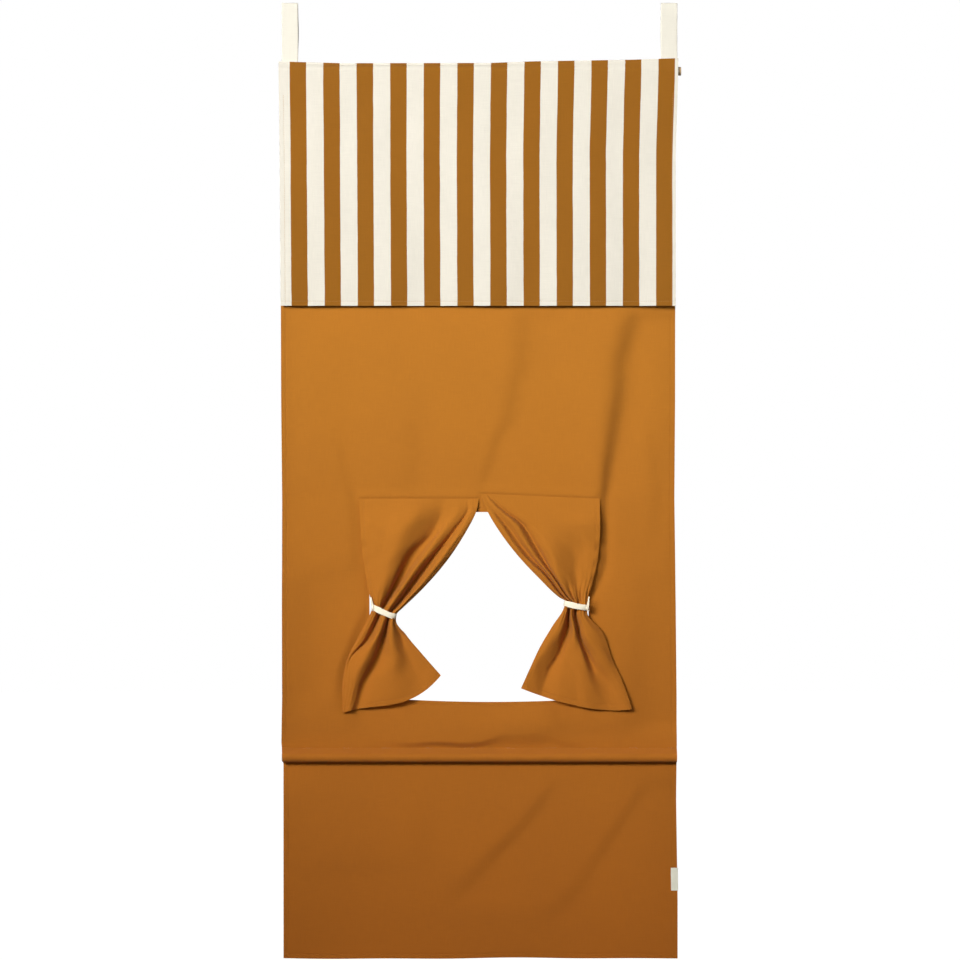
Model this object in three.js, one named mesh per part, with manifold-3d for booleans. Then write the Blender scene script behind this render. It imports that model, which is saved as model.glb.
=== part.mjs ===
// A cloth puppet theatre that hangs in a doorway from two webbing loops.
// Millimetres. X runs to the viewer's right, the audience is at -Y and Z is up.
// The origin is the hanging line: midway between the loops, where a hook or a rod bears inside them.
import * as THREE from "three";
import { mergeVertices } from "three/addons/utils/BufferGeometryUtils.js";
import Module from "manifold-3d";

const wasm = await Module();
wasm.setup();

// Driving dimensions of the cloth
const CLOTH_WIDTH = 730;
const CLOTH_DROP = 1650;
const CLOTH = 0.8;
const HEM_WIDTH = 10;
const HEM_STEP = 0.6;
const HEM = 3 * CLOTH;
const GAP = 0.3;

// Webbing loops and rods
const WEBBING_WIDTH = 30;
const WEBBING = 1.5;
const LOOP_RISE = 106;
const LOOP_MIDDLE = 349;
const LOOP_SEWN_LENGTH = 52;
const ROD_RADIUS = 8;
const ROD_PLAY = 0.5;
const TOP_ROD = { from: -364, to: 371 };
const LOWER_ROD = { from: -363, to: 363 };

// Heights below the cloth's top edge
const VALANCE_DROP = 450;
const CURTAIN_SEAM_DROP = 804;
const WINDOW_TOP_DROP = 829;
const WINDOW_BOTTOM_DROP = 1178;
const LOWER_SEAM_DROP = 1263;

const WINDOW_HALF_WIDTH = 203;
const FACING_WIDTH = 25;
const FACING = 0.6;

// Places worked out from the dimensions above
const HALF_WIDTH = CLOTH_WIDTH / 2;
const TOP = -LOOP_RISE;
const BOTTOM = TOP - CLOTH_DROP;
const CURTAIN_SEAM = TOP - CURTAIN_SEAM_DROP;
const WINDOW = {
  left: -WINDOW_HALF_WIDTH,
  right: WINDOW_HALF_WIDTH,
  top: TOP - WINDOW_TOP_DROP,
  bottom: TOP - WINDOW_BOTTOM_DROP,
};
const SIDE_HEM_TOP = TOP - LOOP_SEWN_LENGTH - 6;
const LOWER_SEAM = TOP - LOWER_SEAM_DROP;
const POCKET_RADIUS = ROD_RADIUS + ROD_PLAY + CLOTH / 2;
const TOP_ROD_AXIS = { y: 0, z: TOP - 18 };
const LOWER_ROD_AXIS = { y: -(CLOTH / 2 + GAP + CLOTH / 2 + POCKET_RADIUS), z: LOWER_SEAM - 16.5 };

// The lower panel bends at a line hidden behind the lower rod. The room above it lets the edge turn.
const LOWER_HINGE = LOWER_ROD_AXIS.z - POCKET_RADIUS - CLOTH / 2 + 0.5;
const ROOM_ABOVE_HINGE = 1.8;
const HINGE_TO_SIDE_HEM = 12;

const COLOURS = {
  ochre: 0xb0702a,
  stripe: 0xa56f2c,
  cream: 0xf3efe2,
  white: 0xf6f5f1,
  beech: 0xd9b88a,
};

function clothMaterial(colour) {
  return new THREE.MeshStandardMaterial({ color: colour, roughness: 0.9, metalness: 0 });
}

function woodMaterial() {
  return new THREE.MeshStandardMaterial({ color: COLOURS.beech, roughness: 0.55, metalness: 0 });
}

function namedMesh(name, geometry, material) {
  const mesh = new THREE.Mesh(geometry, material);
  mesh.name = name;
  return mesh;
}

// Evenly spaced numbers from start to end, both included
function steps(start, end, count) {
  return Array.from({ length: count + 1 }, (_, i) => start + ((end - start) * i) / count);
}

function smoothStep(low, high, value) {
  const t = Math.min(1, Math.max(0, (value - low) / (high - low)));
  return t * t * (3 - 2 * t);
}

// A smooth curve through values at knots, which never swings past them
function through(knots, values, at) {
  const last = knots.length - 1;
  const widths = knots.slice(1).map((k, i) => k - knots[i]);
  const slopes = widths.map((w, i) => (values[i + 1] - values[i]) / w);
  const tangent = (i) => {
    if (i === 0) return slopes[0];
    if (i === last) return slopes[last - 1];
    if (slopes[i - 1] * slopes[i] <= 0) return 0;
    return (2 * slopes[i - 1] * slopes[i]) / (slopes[i - 1] + slopes[i]);
  };
  let span = 0;
  while (span < last - 1 && at > knots[span + 1]) span += 1;
  const w = widths[span];
  const t = (at - knots[span]) / w;
  const rise = values[span + 1] - values[span];
  const c1 = w * tangent(span);
  const c2 = 3 * rise - 2 * c1 - w * tangent(span + 1);
  const c3 = c1 + w * tangent(span + 1) - 2 * rise;
  return values[span] + t * (c1 + t * (c2 + t * c3));
}

// A closed sheet between two grids of points. Grid rows run down the cloth, and cells can be left out.
function closedSheet(front, back, isOpen = () => false) {
  const rows = front.length;
  const columns = front[0].length;
  const positions = [...front.flat(), ...back.flat()].flat();
  const frontPoint = (i, j) => j * columns + i;
  const backPoint = (i, j) => rows * columns + j * columns + i;
  const isCloth = (i, j) => i >= 0 && j >= 0 && i < columns - 1 && j < rows - 1 && !isOpen(i, j);
  const index = [];
  const quad = (a, b, c, d) => index.push(a, b, c, a, c, d);
  for (let j = 0; j < rows - 1; j += 1) {
    for (let i = 0; i < columns - 1; i += 1) {
      if (!isCloth(i, j)) continue;
      const corners = [[i, j], [i, j + 1], [i + 1, j + 1], [i + 1, j]];
      const beside = [[i - 1, j], [i, j + 1], [i + 1, j], [i, j - 1]];
      quad(...corners.map((c) => frontPoint(...c)));
      quad(...corners.toReversed().map((c) => backPoint(...c)));
      beside.forEach((cell, k) => {
        if (isCloth(...cell)) return;
        const from = corners[k];
        const to = corners[(k + 1) % 4];
        quad(frontPoint(...to), frontPoint(...from), backPoint(...from), backPoint(...to));
      });
    }
  }
  const used = [...new Set(index)];
  const renumber = new Map(used.map((vertex, i) => [vertex, i]));
  const kept = used.flatMap((vertex) => positions.slice(3 * vertex, 3 * vertex + 3));
  const geometry = new THREE.BufferGeometry();
  geometry.setAttribute("position", new THREE.Float32BufferAttribute(kept, 3));
  geometry.setIndex(index.map((vertex) => renumber.get(vertex)));
  return faceOutward(geometry);
}

// Turns every triangle round where a closed mesh came out inside out
function faceOutward(geometry) {
  const p = geometry.getAttribute("position");
  const index = Array.from(geometry.getIndex().array);
  const [a, b, c] = [new THREE.Vector3(), new THREE.Vector3(), new THREE.Vector3()];
  let volume = 0;
  for (let i = 0; i < index.length; i += 3) {
    a.fromBufferAttribute(p, index[i]);
    b.fromBufferAttribute(p, index[i + 1]);
    c.fromBufferAttribute(p, index[i + 2]);
    volume += a.dot(b.cross(c));
  }
  if (volume < 0) index.reverse();
  geometry.setIndex(index);
  geometry.computeVertexNormals();
  return geometry;
}

// A hanging panel: columns of x, rows of z, its middle depth and its thickness. Hems turn to the back.
function hangingPanel(columns, rows, depthAt, thicknessAt, opening) {
  const front = rows.map((z) => columns.map((x) => [x, depthAt(x, z) - CLOTH / 2, z]));
  const back = rows.map((z, j) =>
    columns.map((x, i) => [x, front[j][i][1] + thicknessAt(x, z), z]),
  );
  const isOpen = (i, j) =>
    opening !== undefined &&
    columns[i] >= opening.left &&
    columns[i + 1] <= opening.right &&
    rows[j] <= opening.top &&
    rows[j + 1] >= opening.bottom;
  return closedSheet(front, back, isOpen);
}

// Columns across the cloth, with a step where each side hem ends
function clothColumns(inner) {
  const hemEnd = HALF_WIDTH - HEM_WIDTH;
  return [
    -HALF_WIDTH,
    -hemEnd,
    -hemEnd + HEM_STEP,
    ...inner,
    hemEnd - HEM_STEP,
    hemEnd,
    HALF_WIDTH,
  ];
}

function isSideHem(x) {
  return Math.abs(x) >= HALF_WIDTH - HEM_WIDTH;
}

// A ribbon of even thickness along a path in the YZ plane, as a closed outline
function ribbonOutline(path, thickness) {
  const normalAt = (i) => {
    const before = path[Math.max(0, i - 1)];
    const after = path[Math.min(path.length - 1, i + 1)];
    return new THREE.Vector2(before.y - after.y, after.x - before.x).normalize();
  };
  const side = (sign) =>
    path.map((point, i) => point.clone().addScaledVector(normalAt(i), (sign * thickness) / 2));
  return new THREE.Shape([...side(1), ...side(-1).toReversed()]);
}

// Extrudes an outline drawn in Y and Z from one X to another
function extrudeAcross(outline, from, to) {
  const geometry = new THREE.ExtrudeGeometry(outline, {
    depth: to - from,
    bevelEnabled: false,
    curveSegments: 12,
  });
  const alongX = new THREE.Matrix4().makeBasis(
    new THREE.Vector3(0, 1, 0),
    new THREE.Vector3(0, 0, 1),
    new THREE.Vector3(1, 0, 0),
  );
  return geometry.applyMatrix4(alongX).translate(from, 0, 0);
}

// Points on a circle about an axis. Angles are in degrees from straight up, positive towards the audience.
function arcAbout(axis, radius, start, end, count) {
  return steps(start, end, count).map((degrees) => {
    const angle = THREE.MathUtils.degToRad(degrees);
    return new THREE.Vector2(axis.y - radius * Math.sin(angle), axis.z + radius * Math.cos(angle));
  });
}

// The angle from straight up where a line from a point touches a circle, on the audience's side
function touchAngle(axis, radius, point) {
  const dy = axis.y - point.y;
  const dz = point.z - axis.z;
  const towardsPoint = Math.atan2(dy, dz);
  return THREE.MathUtils.radToDeg(towardsPoint + Math.acos(radius / Math.hypot(dy, dz)));
}

// The front half of a layer that hugs the top rod: flat where the seam pinches it, round over the rod
const PINCH_ABOVE = 15;
const PINCH_BELOW = 13;
const FLANGE = 12;
function frontLayer(radius, yAbove, yBelow, sewnLength) {
  const above = { y: yAbove, z: TOP_ROD_AXIS.z + PINCH_ABOVE };
  const below = { y: yBelow, z: TOP_ROD_AXIS.z - PINCH_BELOW };
  const start = touchAngle(TOP_ROD_AXIS, radius, above);
  const mirrored = { y: below.y, z: 2 * TOP_ROD_AXIS.z - below.z };
  const end = 180 - touchAngle(TOP_ROD_AXIS, radius, mirrored);
  return [
    new THREE.Vector2(below.y, below.z - sewnLength),
    new THREE.Vector2(below.y, below.z),
    ...arcAbout(TOP_ROD_AXIS, radius, end, start, 8),
    new THREE.Vector2(above.y, above.z),
  ];
}

function mirroredToBack(path) {
  return path.map((point) => new THREE.Vector2(-point.x, point.y)).toReversed();
}

const POCKET_PINCH = 0.6;
const POCKET_FLANGE_Y = CLOTH / 2 + GAP + CLOTH / 2;
const LAYER_SHIFT = CLOTH / 2 + GAP + WEBBING / 2;

// The tunnel at the top edge: the cloth's end turned over the rod, both layers sewn below it
function topRodPocket() {
  const front = frontLayer(POCKET_RADIUS, -POCKET_PINCH, -POCKET_FLANGE_Y, FLANGE);
  const fold = arcAbout({ y: 0, z: TOP - CLOTH / 2 - POCKET_PINCH }, POCKET_PINCH, 90, -90, 4);
  const path = [...front, ...fold, ...mirroredToBack(front)];
  const outline = ribbonOutline(path, CLOTH);
  const geometry = extrudeAcross(outline, -HALF_WIDTH, HALF_WIDTH);
  return namedMesh("top_rod_pocket", geometry, clothMaterial(COLOURS.ochre));
}

// A webbing loop: both ends straddle the rod pocket, and the loop opens towards a flat seat at its top
const LOOP_HALF_OPENING = 6.2;
const LOOP_CORNER = 3.2;
function hangingLoop(name, middle) {
  const sewn = frontLayer(
    POCKET_RADIUS + LAYER_SHIFT,
    -POCKET_PINCH - LAYER_SHIFT,
    -POCKET_FLANGE_Y - LAYER_SHIFT,
    LOOP_SEWN_LENGTH - (TOP - TOP_ROD_AXIS.z) - PINCH_BELOW,
  );
  const start = -POCKET_PINCH - LAYER_SHIFT;
  const cornerAxis = { y: -(LOOP_HALF_OPENING - LOOP_CORNER), z: WEBBING / 2 - LOOP_CORNER };
  const rise = [
    new THREE.Vector2(start, TOP),
    new THREE.Vector2(start - 1.2, TOP * 0.76),
    new THREE.Vector2(start - 3.2, TOP * 0.47),
    new THREE.Vector2(-LOOP_HALF_OPENING, TOP * 0.2),
  ];
  const half = [...sewn, ...rise, ...arcAbout(cornerAxis, LOOP_CORNER, 90, 0, 4)];
  const outline = ribbonOutline([...half, ...mirroredToBack(half)], WEBBING);
  const geometry = extrudeAcross(outline, middle - WEBBING_WIDTH / 2, middle + WEBBING_WIDTH / 2);
  return namedMesh(name, geometry, clothMaterial(COLOURS.cream));
}

// A round rod along X with eased ends
const ROD_BEVEL = 0.8;
function rod(name, axis, span) {
  const length = span.to - span.from;
  const profile = [
    new THREE.Vector2(0, 0),
    new THREE.Vector2(ROD_RADIUS - ROD_BEVEL, 0),
    new THREE.Vector2(ROD_RADIUS, ROD_BEVEL),
    new THREE.Vector2(ROD_RADIUS, length - ROD_BEVEL),
    new THREE.Vector2(ROD_RADIUS - ROD_BEVEL, length),
    new THREE.Vector2(0, length),
  ];
  const mesh = namedMesh(name, new THREE.LatheGeometry(profile, 32), woodMaterial());
  mesh.rotation.z = -Math.PI / 2;
  mesh.position.set(span.from, axis.y, axis.z);
  return mesh;
}

// A soft fold in a hanging panel: a long rounded swell or hollow along a line, in millimetres towards -Y
function softFold(x, z, { from, to, width, out }) {
  const run = new THREE.Vector2(to[0] - from[0], to[1] - from[1]);
  const reach = new THREE.Vector2(x - from[0], z - from[1]);
  const share = THREE.MathUtils.clamp(reach.dot(run) / run.lengthSq(), 0, 1);
  const away = reach.addScaledVector(run, -share).length() / width;
  return -out * Math.exp(-0.5 * away * away);
}

function draped(x, z, folds) {
  return folds.reduce((sum, fold) => sum + softFold(x, z, fold), 0);
}

// Folds that hang from the corners of the valance down to the curtain seam, and beside the window
const MAIN_FOLDS = [
  { from: [300, -560], to: [240, -820], width: 34, out: -4.5 },
  { from: [215, -600], to: [190, -780], width: 30, out: 2.5 },
  { from: [60, -700], to: [25, -810], width: 26, out: -2.5 },
  { from: [-120, -560], to: [-70, -790], width: 45, out: 2.5 },
  { from: [-262, -800], to: [-240, -840], width: 26, out: -2.5 },
  { from: [-320, -1000], to: [-300, -1220], width: 26, out: -2.5 },
  { from: [320, -980], to: [300, -1200], width: 24, out: -3 },
];
const LOWER_FOLDS = [
  { from: [150, -1450], to: [20, -1540], width: 42, out: 3 },
  { from: [-180, -1460], to: [-60, -1560], width: 46, out: 2.5 },
  { from: [-210, -1560], to: [-240, -1740], width: 34, out: -3 },
  { from: [40, -1580], to: [80, -1750], width: 38, out: -3 },
];

const PANEL_TOP = TOP_ROD_AXIS.z - PINCH_BELOW - 0.5;

// The flat part of the main panel round the window, a little wider than the facing
const CALM = {
  halfWidth: WINDOW_HALF_WIDTH + FACING_WIDTH + 2,
  top: WINDOW.top + FACING_WIDTH + 2,
  bottom: WINDOW.bottom - FACING_WIDTH - 2,
};

// How freely the main panel can fold: not at all at the rods and on the window's facing
function mainPanelFreedom(x, z) {
  const besideFacing = Math.max(0, Math.abs(x) - CALM.halfWidth);
  const aboveFacing = z - CALM.top;
  const belowFacing = CALM.bottom - z;
  const fromFacing = Math.hypot(besideFacing, Math.max(0, aboveFacing, belowFacing));
  return (
    smoothStep(PANEL_TOP, PANEL_TOP - 120, z) *
    smoothStep(LOWER_SEAM, LOWER_SEAM + 60, z) *
    smoothStep(0, 40, fromFacing)
  );
}

// The main panel: side hems turned to the back, the stage window cut through, stiff at both rods
function mainPanel() {
  const hemBottom = LOWER_HINGE + HINGE_TO_SIDE_HEM;
  const columns = clothColumns([
    ...steps(-325, -CALM.halfWidth, 3),
    ...steps(WINDOW.left, WINDOW.right, 11),
    ...steps(CALM.halfWidth, 325, 3),
  ]);
  const rows = [
    PANEL_TOP,
    SIDE_HEM_TOP + HEM_STEP,
    SIDE_HEM_TOP,
    ...steps(-210, CALM.top, 11),
    ...steps(WINDOW.top, WINDOW.bottom, 4),
    CALM.bottom,
    -1340,
    hemBottom,
    hemBottom - HEM_STEP,
    LOWER_HINGE + ROOM_ABOVE_HINGE,
  ];
  const depthAt = (x, z) => draped(x, z, MAIN_FOLDS) * mainPanelFreedom(x, z);
  const thicknessAt = (x, z) =>
    isSideHem(x) && z <= SIDE_HEM_TOP && z >= hemBottom ? HEM : CLOTH;
  const geometry = hangingPanel(columns, rows, depthAt, thicknessAt, WINDOW);
  return namedMesh("main_panel", geometry, clothMaterial(COLOURS.ochre));
}

// The facing that finishes the window's raw edge, a ring of cloth sewn flat on the back
function windowFacing() {
  const set = 0.5;
  const inner = {
    left: WINDOW.left - set,
    right: WINDOW.right + set,
    top: WINDOW.top + set,
    bottom: WINDOW.bottom - set,
  };
  const columns = [inner.left - FACING_WIDTH, inner.left, inner.right, inner.right + FACING_WIDTH];
  const rows = [inner.top + FACING_WIDTH, inner.top, inner.bottom, inner.bottom - FACING_WIDTH];
  const depth = CLOTH / 2 + GAP + CLOTH / 2;
  const geometry = hangingPanel(columns, rows, () => depth, () => FACING, inner);
  return namedMesh("window_facing", geometry, clothMaterial(COLOURS.ochre));
}

// The striped valance: sewn at its top edge only, it falls over the rod and hangs clear of the panel
const VALANCE_RADIUS = POCKET_RADIUS + LAYER_SHIFT * 2;
const VALANCE_HINGE_Y = -POCKET_PINCH - LAYER_SHIFT * 2;
const VALANCE_LIP = 3;
function valanceDepth(x, z) {
  const pinch = { y: VALANCE_HINGE_Y, z: TOP_ROD_AXIS.z + PINCH_ABOVE };
  const touch = THREE.MathUtils.degToRad(touchAngle(TOP_ROD_AXIS, VALANCE_RADIUS, pinch));
  const touchY = -VALANCE_RADIUS * Math.sin(touch);
  const touchZ = TOP_ROD_AXIS.z + VALANCE_RADIUS * Math.cos(touch);
  if (z >= pinch.z) return pinch.y;
  if (z >= touchZ) return pinch.y + ((touchY - pinch.y) * (pinch.z - z)) / (pinch.z - touchZ);
  if (z >= TOP_ROD_AXIS.z) return -Math.sqrt(VALANCE_RADIUS ** 2 - (z - TOP_ROD_AXIS.z) ** 2);
  const loose = smoothStep(0, VALANCE_DROP, TOP - z);
  return -VALANCE_RADIUS - loose * (1.6 * Math.sin(x / 62) + 1.2 * Math.sin(x / 29 + 1));
}

function valance() {
  const lipEnd = LOOP_MIDDLE - WEBBING_WIDTH / 2 - 1;
  const columns = clothColumns([-lipEnd, ...steps(-lipEnd + HEM_STEP, lipEnd - HEM_STEP, 20), lipEnd]);
  const hemTop = TOP - VALANCE_DROP + HEM_WIDTH;
  const rows = [
    TOP,
    TOP - VALANCE_LIP,
    TOP - VALANCE_LIP - HEM_STEP,
    TOP - 7,
    TOP - 11,
    TOP - 14,
    TOP_ROD_AXIS.z,
    SIDE_HEM_TOP + HEM_STEP,
    ...steps(SIDE_HEM_TOP, hemTop + HEM_STEP, 5),
    hemTop,
    TOP - VALANCE_DROP,
  ];
  const thicknessAt = (x, z) => {
    const isLip = z >= TOP - VALANCE_LIP && Math.abs(x) < lipEnd;
    if (isLip) return CLOTH + WEBBING;
    return (isSideHem(x) && z <= SIDE_HEM_TOP) || z <= hemTop ? HEM : CLOTH;
  };
  const geometry = hangingPanel(columns, rows, valanceDepth, thicknessAt);
  return namedMesh("valance", geometry, clothMaterial(COLOURS.stripe));
}

// The tuck below the window: a fold of cloth round the lower rod, its two layers sewn together above it
function lowerRodPocket() {
  const back = { y: -(CLOTH + GAP), z: LOWER_SEAM };
  const front = { y: back.y - CLOTH - 0.2, z: LOWER_SEAM };
  const touch = touchAngle(LOWER_ROD_AXIS, POCKET_RADIUS, front);
  const path = [
    new THREE.Vector2(back.y, back.z),
    ...arcAbout(LOWER_ROD_AXIS, POCKET_RADIUS, 270, touch, 18),
    new THREE.Vector2(front.y, front.z),
  ];
  const geometry = extrudeAcross(ribbonOutline(path, CLOTH), -HALF_WIDTH, HALF_WIDTH);
  return namedMesh("lower_rod_pocket", geometry, clothMaterial(COLOURS.ochre));
}

// The panel below the tuck, hemmed at both sides and along the bottom
function lowerPanel() {
  const columns = clothColumns(steps(-330, 330, 15));
  const hemTop = BOTTOM + HEM_WIDTH;
  const sideHemTop = LOWER_HINGE - HINGE_TO_SIDE_HEM;
  const rows = [
    LOWER_HINGE - GAP,
    sideHemTop + HEM_STEP,
    ...steps(sideHemTop, hemTop + HEM_STEP, 8),
    hemTop,
    BOTTOM,
  ];
  const free = (x, z) =>
    smoothStep(LOWER_HINGE, LOWER_HINGE - 60, z) * smoothStep(HALF_WIDTH, HALF_WIDTH - 70, Math.abs(x));
  const depthAt = (x, z) => draped(x, z, LOWER_FOLDS) * free(x, z);
  const thicknessAt = (x, z) =>
    (isSideHem(x) && z <= sideHemTop) || z <= hemTop ? HEM : CLOTH;
  const geometry = hangingPanel(columns, rows, depthAt, thicknessAt);
  return namedMesh("lower_panel", geometry, clothMaterial(COLOURS.ochre));
}

// A blank woven label, folded over the lower panel's right edge
const LABEL = { inset: 12, thickness: 0.5, top: -1590, height: 42 };
function sideLabel() {
  const front = -CLOTH / 2 - GAP - LABEL.thickness / 2;
  const back = -CLOTH / 2 + HEM + GAP + LABEL.thickness / 2;
  const fold = HALF_WIDTH + GAP + LABEL.thickness / 2;
  const path = [
    new THREE.Vector2(HALF_WIDTH - LABEL.inset, front),
    new THREE.Vector2(fold - 0.4, front),
    new THREE.Vector2(fold, front + 0.5),
    new THREE.Vector2(fold, back - 0.5),
    new THREE.Vector2(fold - 0.4, back),
    new THREE.Vector2(HALF_WIDTH - LABEL.inset, back),
  ];
  const geometry = new THREE.ExtrudeGeometry(ribbonOutline(path, LABEL.thickness), {
    depth: LABEL.height,
    bevelEnabled: false,
  });
  const mesh = namedMesh("side_label", geometry, clothMaterial(COLOURS.white));
  mesh.position.z = LABEL.top - LABEL.height;
  return mesh;
}

// The curtains. A curtain is a flat cloth sewn along its top seam and gathered by a tie at half its length.
// Each row runs from the outer edge to the inner edge, as x and drop below the seam, with its middle
// hanging lower by bow. Fold lines run down the cloth: across holds their shares of the row's width and
// out their distances from the panel's middle plane, both from the outer edge to the inner one.
const LEFT_CURTAIN = {
  name: "left_curtain",
  rows: [
    { outer: [-221.5, 0.4], inner: [-0.8, 0.4], bow: 0, down: 0 },
    { outer: [-213.4, 104], inner: [-61.6, 115], bow: 0, down: 105 },
    { outer: [-193.1, 194.7], inner: [-152.6, 211.9], bow: 0, down: 203 },
    { outer: [-197.8, 205.7], inner: [-157.3, 222.9], bow: 0, down: 215 },
    { outer: [-223.6, 258.5], inner: [-133.4, 254.8], bow: 6, down: 262 },
    { outer: [-249.3, 319.2], inner: [-100.3, 291.6], bow: 14, down: 325 },
    { outer: [-251.2, 391], inner: [-70.8, 324.8], bow: 20, down: 400 },
  ],
  across: [
    [0, 0.15, 0.3, 0.45, 0.6, 0.74, 0.88, 1],
    [0, 0.14, 0.27, 0.42, 0.62, 0.79, 0.9, 1],
    [0, 0.12, 0.3, 0.46, 0.6, 0.77, 0.9, 1],
    [0, 0.12, 0.34, 0.48, 0.62, 0.74, 0.88, 1],
    [0, 0.06, 0.15, 0.37, 0.56, 0.76, 0.9, 1],
    [0, 0.04, 0.1, 0.22, 0.4, 0.72, 0.88, 1],
    [0, 0.03, 0.06, 0.1, 0.2, 0.66, 0.82, 1],
  ],
  out: [
    [1.1, 1.1, 1.1, 1.1, 1.1, 1.1, 1.1, 1.1],
    [7, 9, 11, 6, 24, 12, 23, 15],
    [12, 18, 21, 8, 21.5, 8, 18, 13],
    [12, 18, 8, 21.5, 7, 21.5, 10, 14],
    [8, 16, 9, 22, 7, 25, 15, 21],
    [7, 12, 10, 20, 7, 24, 17, 20],
    [6, 8, 8, 14, 7, 19, 15, 17],
  ],
};
const RIGHT_CURTAIN = {
  name: "right_curtain",
  rows: [
    { outer: [221.5, 0.4], inner: [0.8, 0.4], bow: 0, down: 0 },
    { outer: [219.3, 98.4], inner: [74.5, 109.5], bow: 0, down: 105 },
    { outer: [199.8, 196.1], inner: [157.5, 188.1], bow: 0, down: 203 },
    { outer: [197.6, 207.9], inner: [155.3, 199.9], bow: 0, down: 215 },
    { outer: [227.2, 247.5], inner: [127.9, 243.8], bow: 4, down: 262 },
    { outer: [247.5, 304.5], inner: [102.1, 291.6], bow: 10, down: 325 },
    { outer: [280.6, 386.4], inner: [76.4, 348.7], bow: 15, down: 400 },
  ],
  across: [
    [0, 0.12, 0.26, 0.42, 0.58, 0.72, 0.86, 1],
    [0, 0.12, 0.32, 0.52, 0.69, 0.76, 0.9, 1],
    [0, 0.12, 0.3, 0.48, 0.6, 0.7, 0.86, 1],
    [0, 0.2, 0.44, 0.58, 0.66, 0.72, 0.88, 1],
    [0, 0.16, 0.33, 0.46, 0.58, 0.71, 0.87, 1],
    [0, 0.15, 0.28, 0.42, 0.56, 0.74, 0.88, 1],
    [0, 0.05, 0.1, 0.34, 0.58, 0.82, 0.91, 1],
  ],
  out: [
    [1.1, 1.1, 1.1, 1.1, 1.1, 1.1, 1.1, 1.1],
    [16, 21, 12, 20, 10, 20, 18, 11],
    [12, 18, 21, 8, 21.5, 9, 18, 13],
    [12, 20, 8, 21.5, 18, 7, 18, 13],
    [10, 21, 9, 23, 18, 7, 21, 15],
    [10, 19, 11, 22, 19, 9, 18, 14],
    [9, 11, 9, 18, 17, 9, 12, 12],
  ],
};
const FOLD_LINES = [0, 1, 2, 3, 4, 5, 6, 7];

// One point of a curtain's middle surface: line counts fold lines from the outer edge, down is along the cloth
function curtainPoint(curtain, line, down) {
  const knots = curtain.rows.map((row) => row.down);
  const along = (values) => through(knots, values, down);
  const share = through(
    FOLD_LINES,
    FOLD_LINES.map((k) => along(curtain.across.map((row) => row[k]))),
    line,
  );
  const out = through(
    FOLD_LINES,
    FOLD_LINES.map((k) => along(curtain.out.map((row) => row[k]))),
    line,
  );
  const edge = (side, axis) => along(curtain.rows.map((row) => row[side][axis]));
  const x = THREE.MathUtils.lerp(edge("outer", 0), edge("inner", 0), share);
  const drop = THREE.MathUtils.lerp(edge("outer", 1), edge("inner", 1), share);
  const bow = along(curtain.rows.map((row) => row.bow)) * 4 * share * (1 - share);
  return new THREE.Vector3(x, -out, CURTAIN_SEAM - drop - bow);
}

function curtain(shape) {
  const lines = steps(0, 7, 21);
  const [seam, half, aboveTie, belowTie, flare, hang, hem] = shape.rows.map((row) => row.down);
  const downs = [
    ...steps(seam, half, 6),
    ...steps(half, aboveTie, 5).slice(1),
    belowTie,
    ...steps(belowTie, flare, 3).slice(1),
    ...steps(flare, hang, 3).slice(1),
    ...steps(hang, hem, 3).slice(1),
  ];
  const nudge = 0.05;
  const middle = downs.map((down) => lines.map((line) => curtainPoint(shape, line, down)));
  const normals = downs.map((down) =>
    lines.map((line) => {
      const across = curtainPoint(shape, Math.min(7, line + nudge), down).sub(
        curtainPoint(shape, Math.max(0, line - nudge), down),
      );
      const along = curtainPoint(shape, line, Math.min(hem, down + nudge)).sub(
        curtainPoint(shape, line, Math.max(seam, down - nudge)),
      );
      const normal = across.cross(along).normalize();
      return normal.y > 0 ? normal.negate() : normal;
    }),
  );
  const layer = (side) =>
    middle.map((row, j) =>
      row.map((point, i) => point.clone().addScaledVector(normals[j][i], side).toArray()),
    );
  const geometry = closedSheet(layer(CLOTH / 2), layer(-CLOTH / 2));
  return namedMesh(shape.name, geometry, clothMaterial(COLOURS.ochre));
}

// Joins closed meshes into one solid
function joined(geometries) {
  const solids = geometries.map((geometry) => {
    const plain = new THREE.BufferGeometry();
    plain.setAttribute("position", geometry.getAttribute("position").clone());
    if (geometry.index) plain.setIndex(geometry.index);
    const merged = mergeVertices(plain, 1e-4);
    return new wasm.Manifold(
      new wasm.Mesh({
        numProp: 3,
        vertProperties: merged.attributes.position.array,
        triVerts: new Uint32Array(merged.index.array),
      }),
    );
  });
  const whole = solids.reduce((sum, solid) => sum.add(solid)).getMesh();
  const geometry = new THREE.BufferGeometry();
  geometry.setAttribute("position", new THREE.BufferAttribute(whole.vertProperties, 3));
  geometry.setIndex(new THREE.BufferAttribute(whole.triVerts, 1));
  geometry.computeVertexNormals();
  return geometry;
}

// A long slot outline with round ends, as the path of a tape round a gathered neck
function slotOutline(halfLength, halfDepth) {
  const straight = halfLength - halfDepth;
  const outline = new THREE.Shape();
  outline.absarc(straight, 0, halfDepth, -Math.PI / 2, Math.PI / 2, false);
  outline.absarc(-straight, 0, halfDepth, Math.PI / 2, (3 * Math.PI) / 2, false);
  return outline;
}

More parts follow.
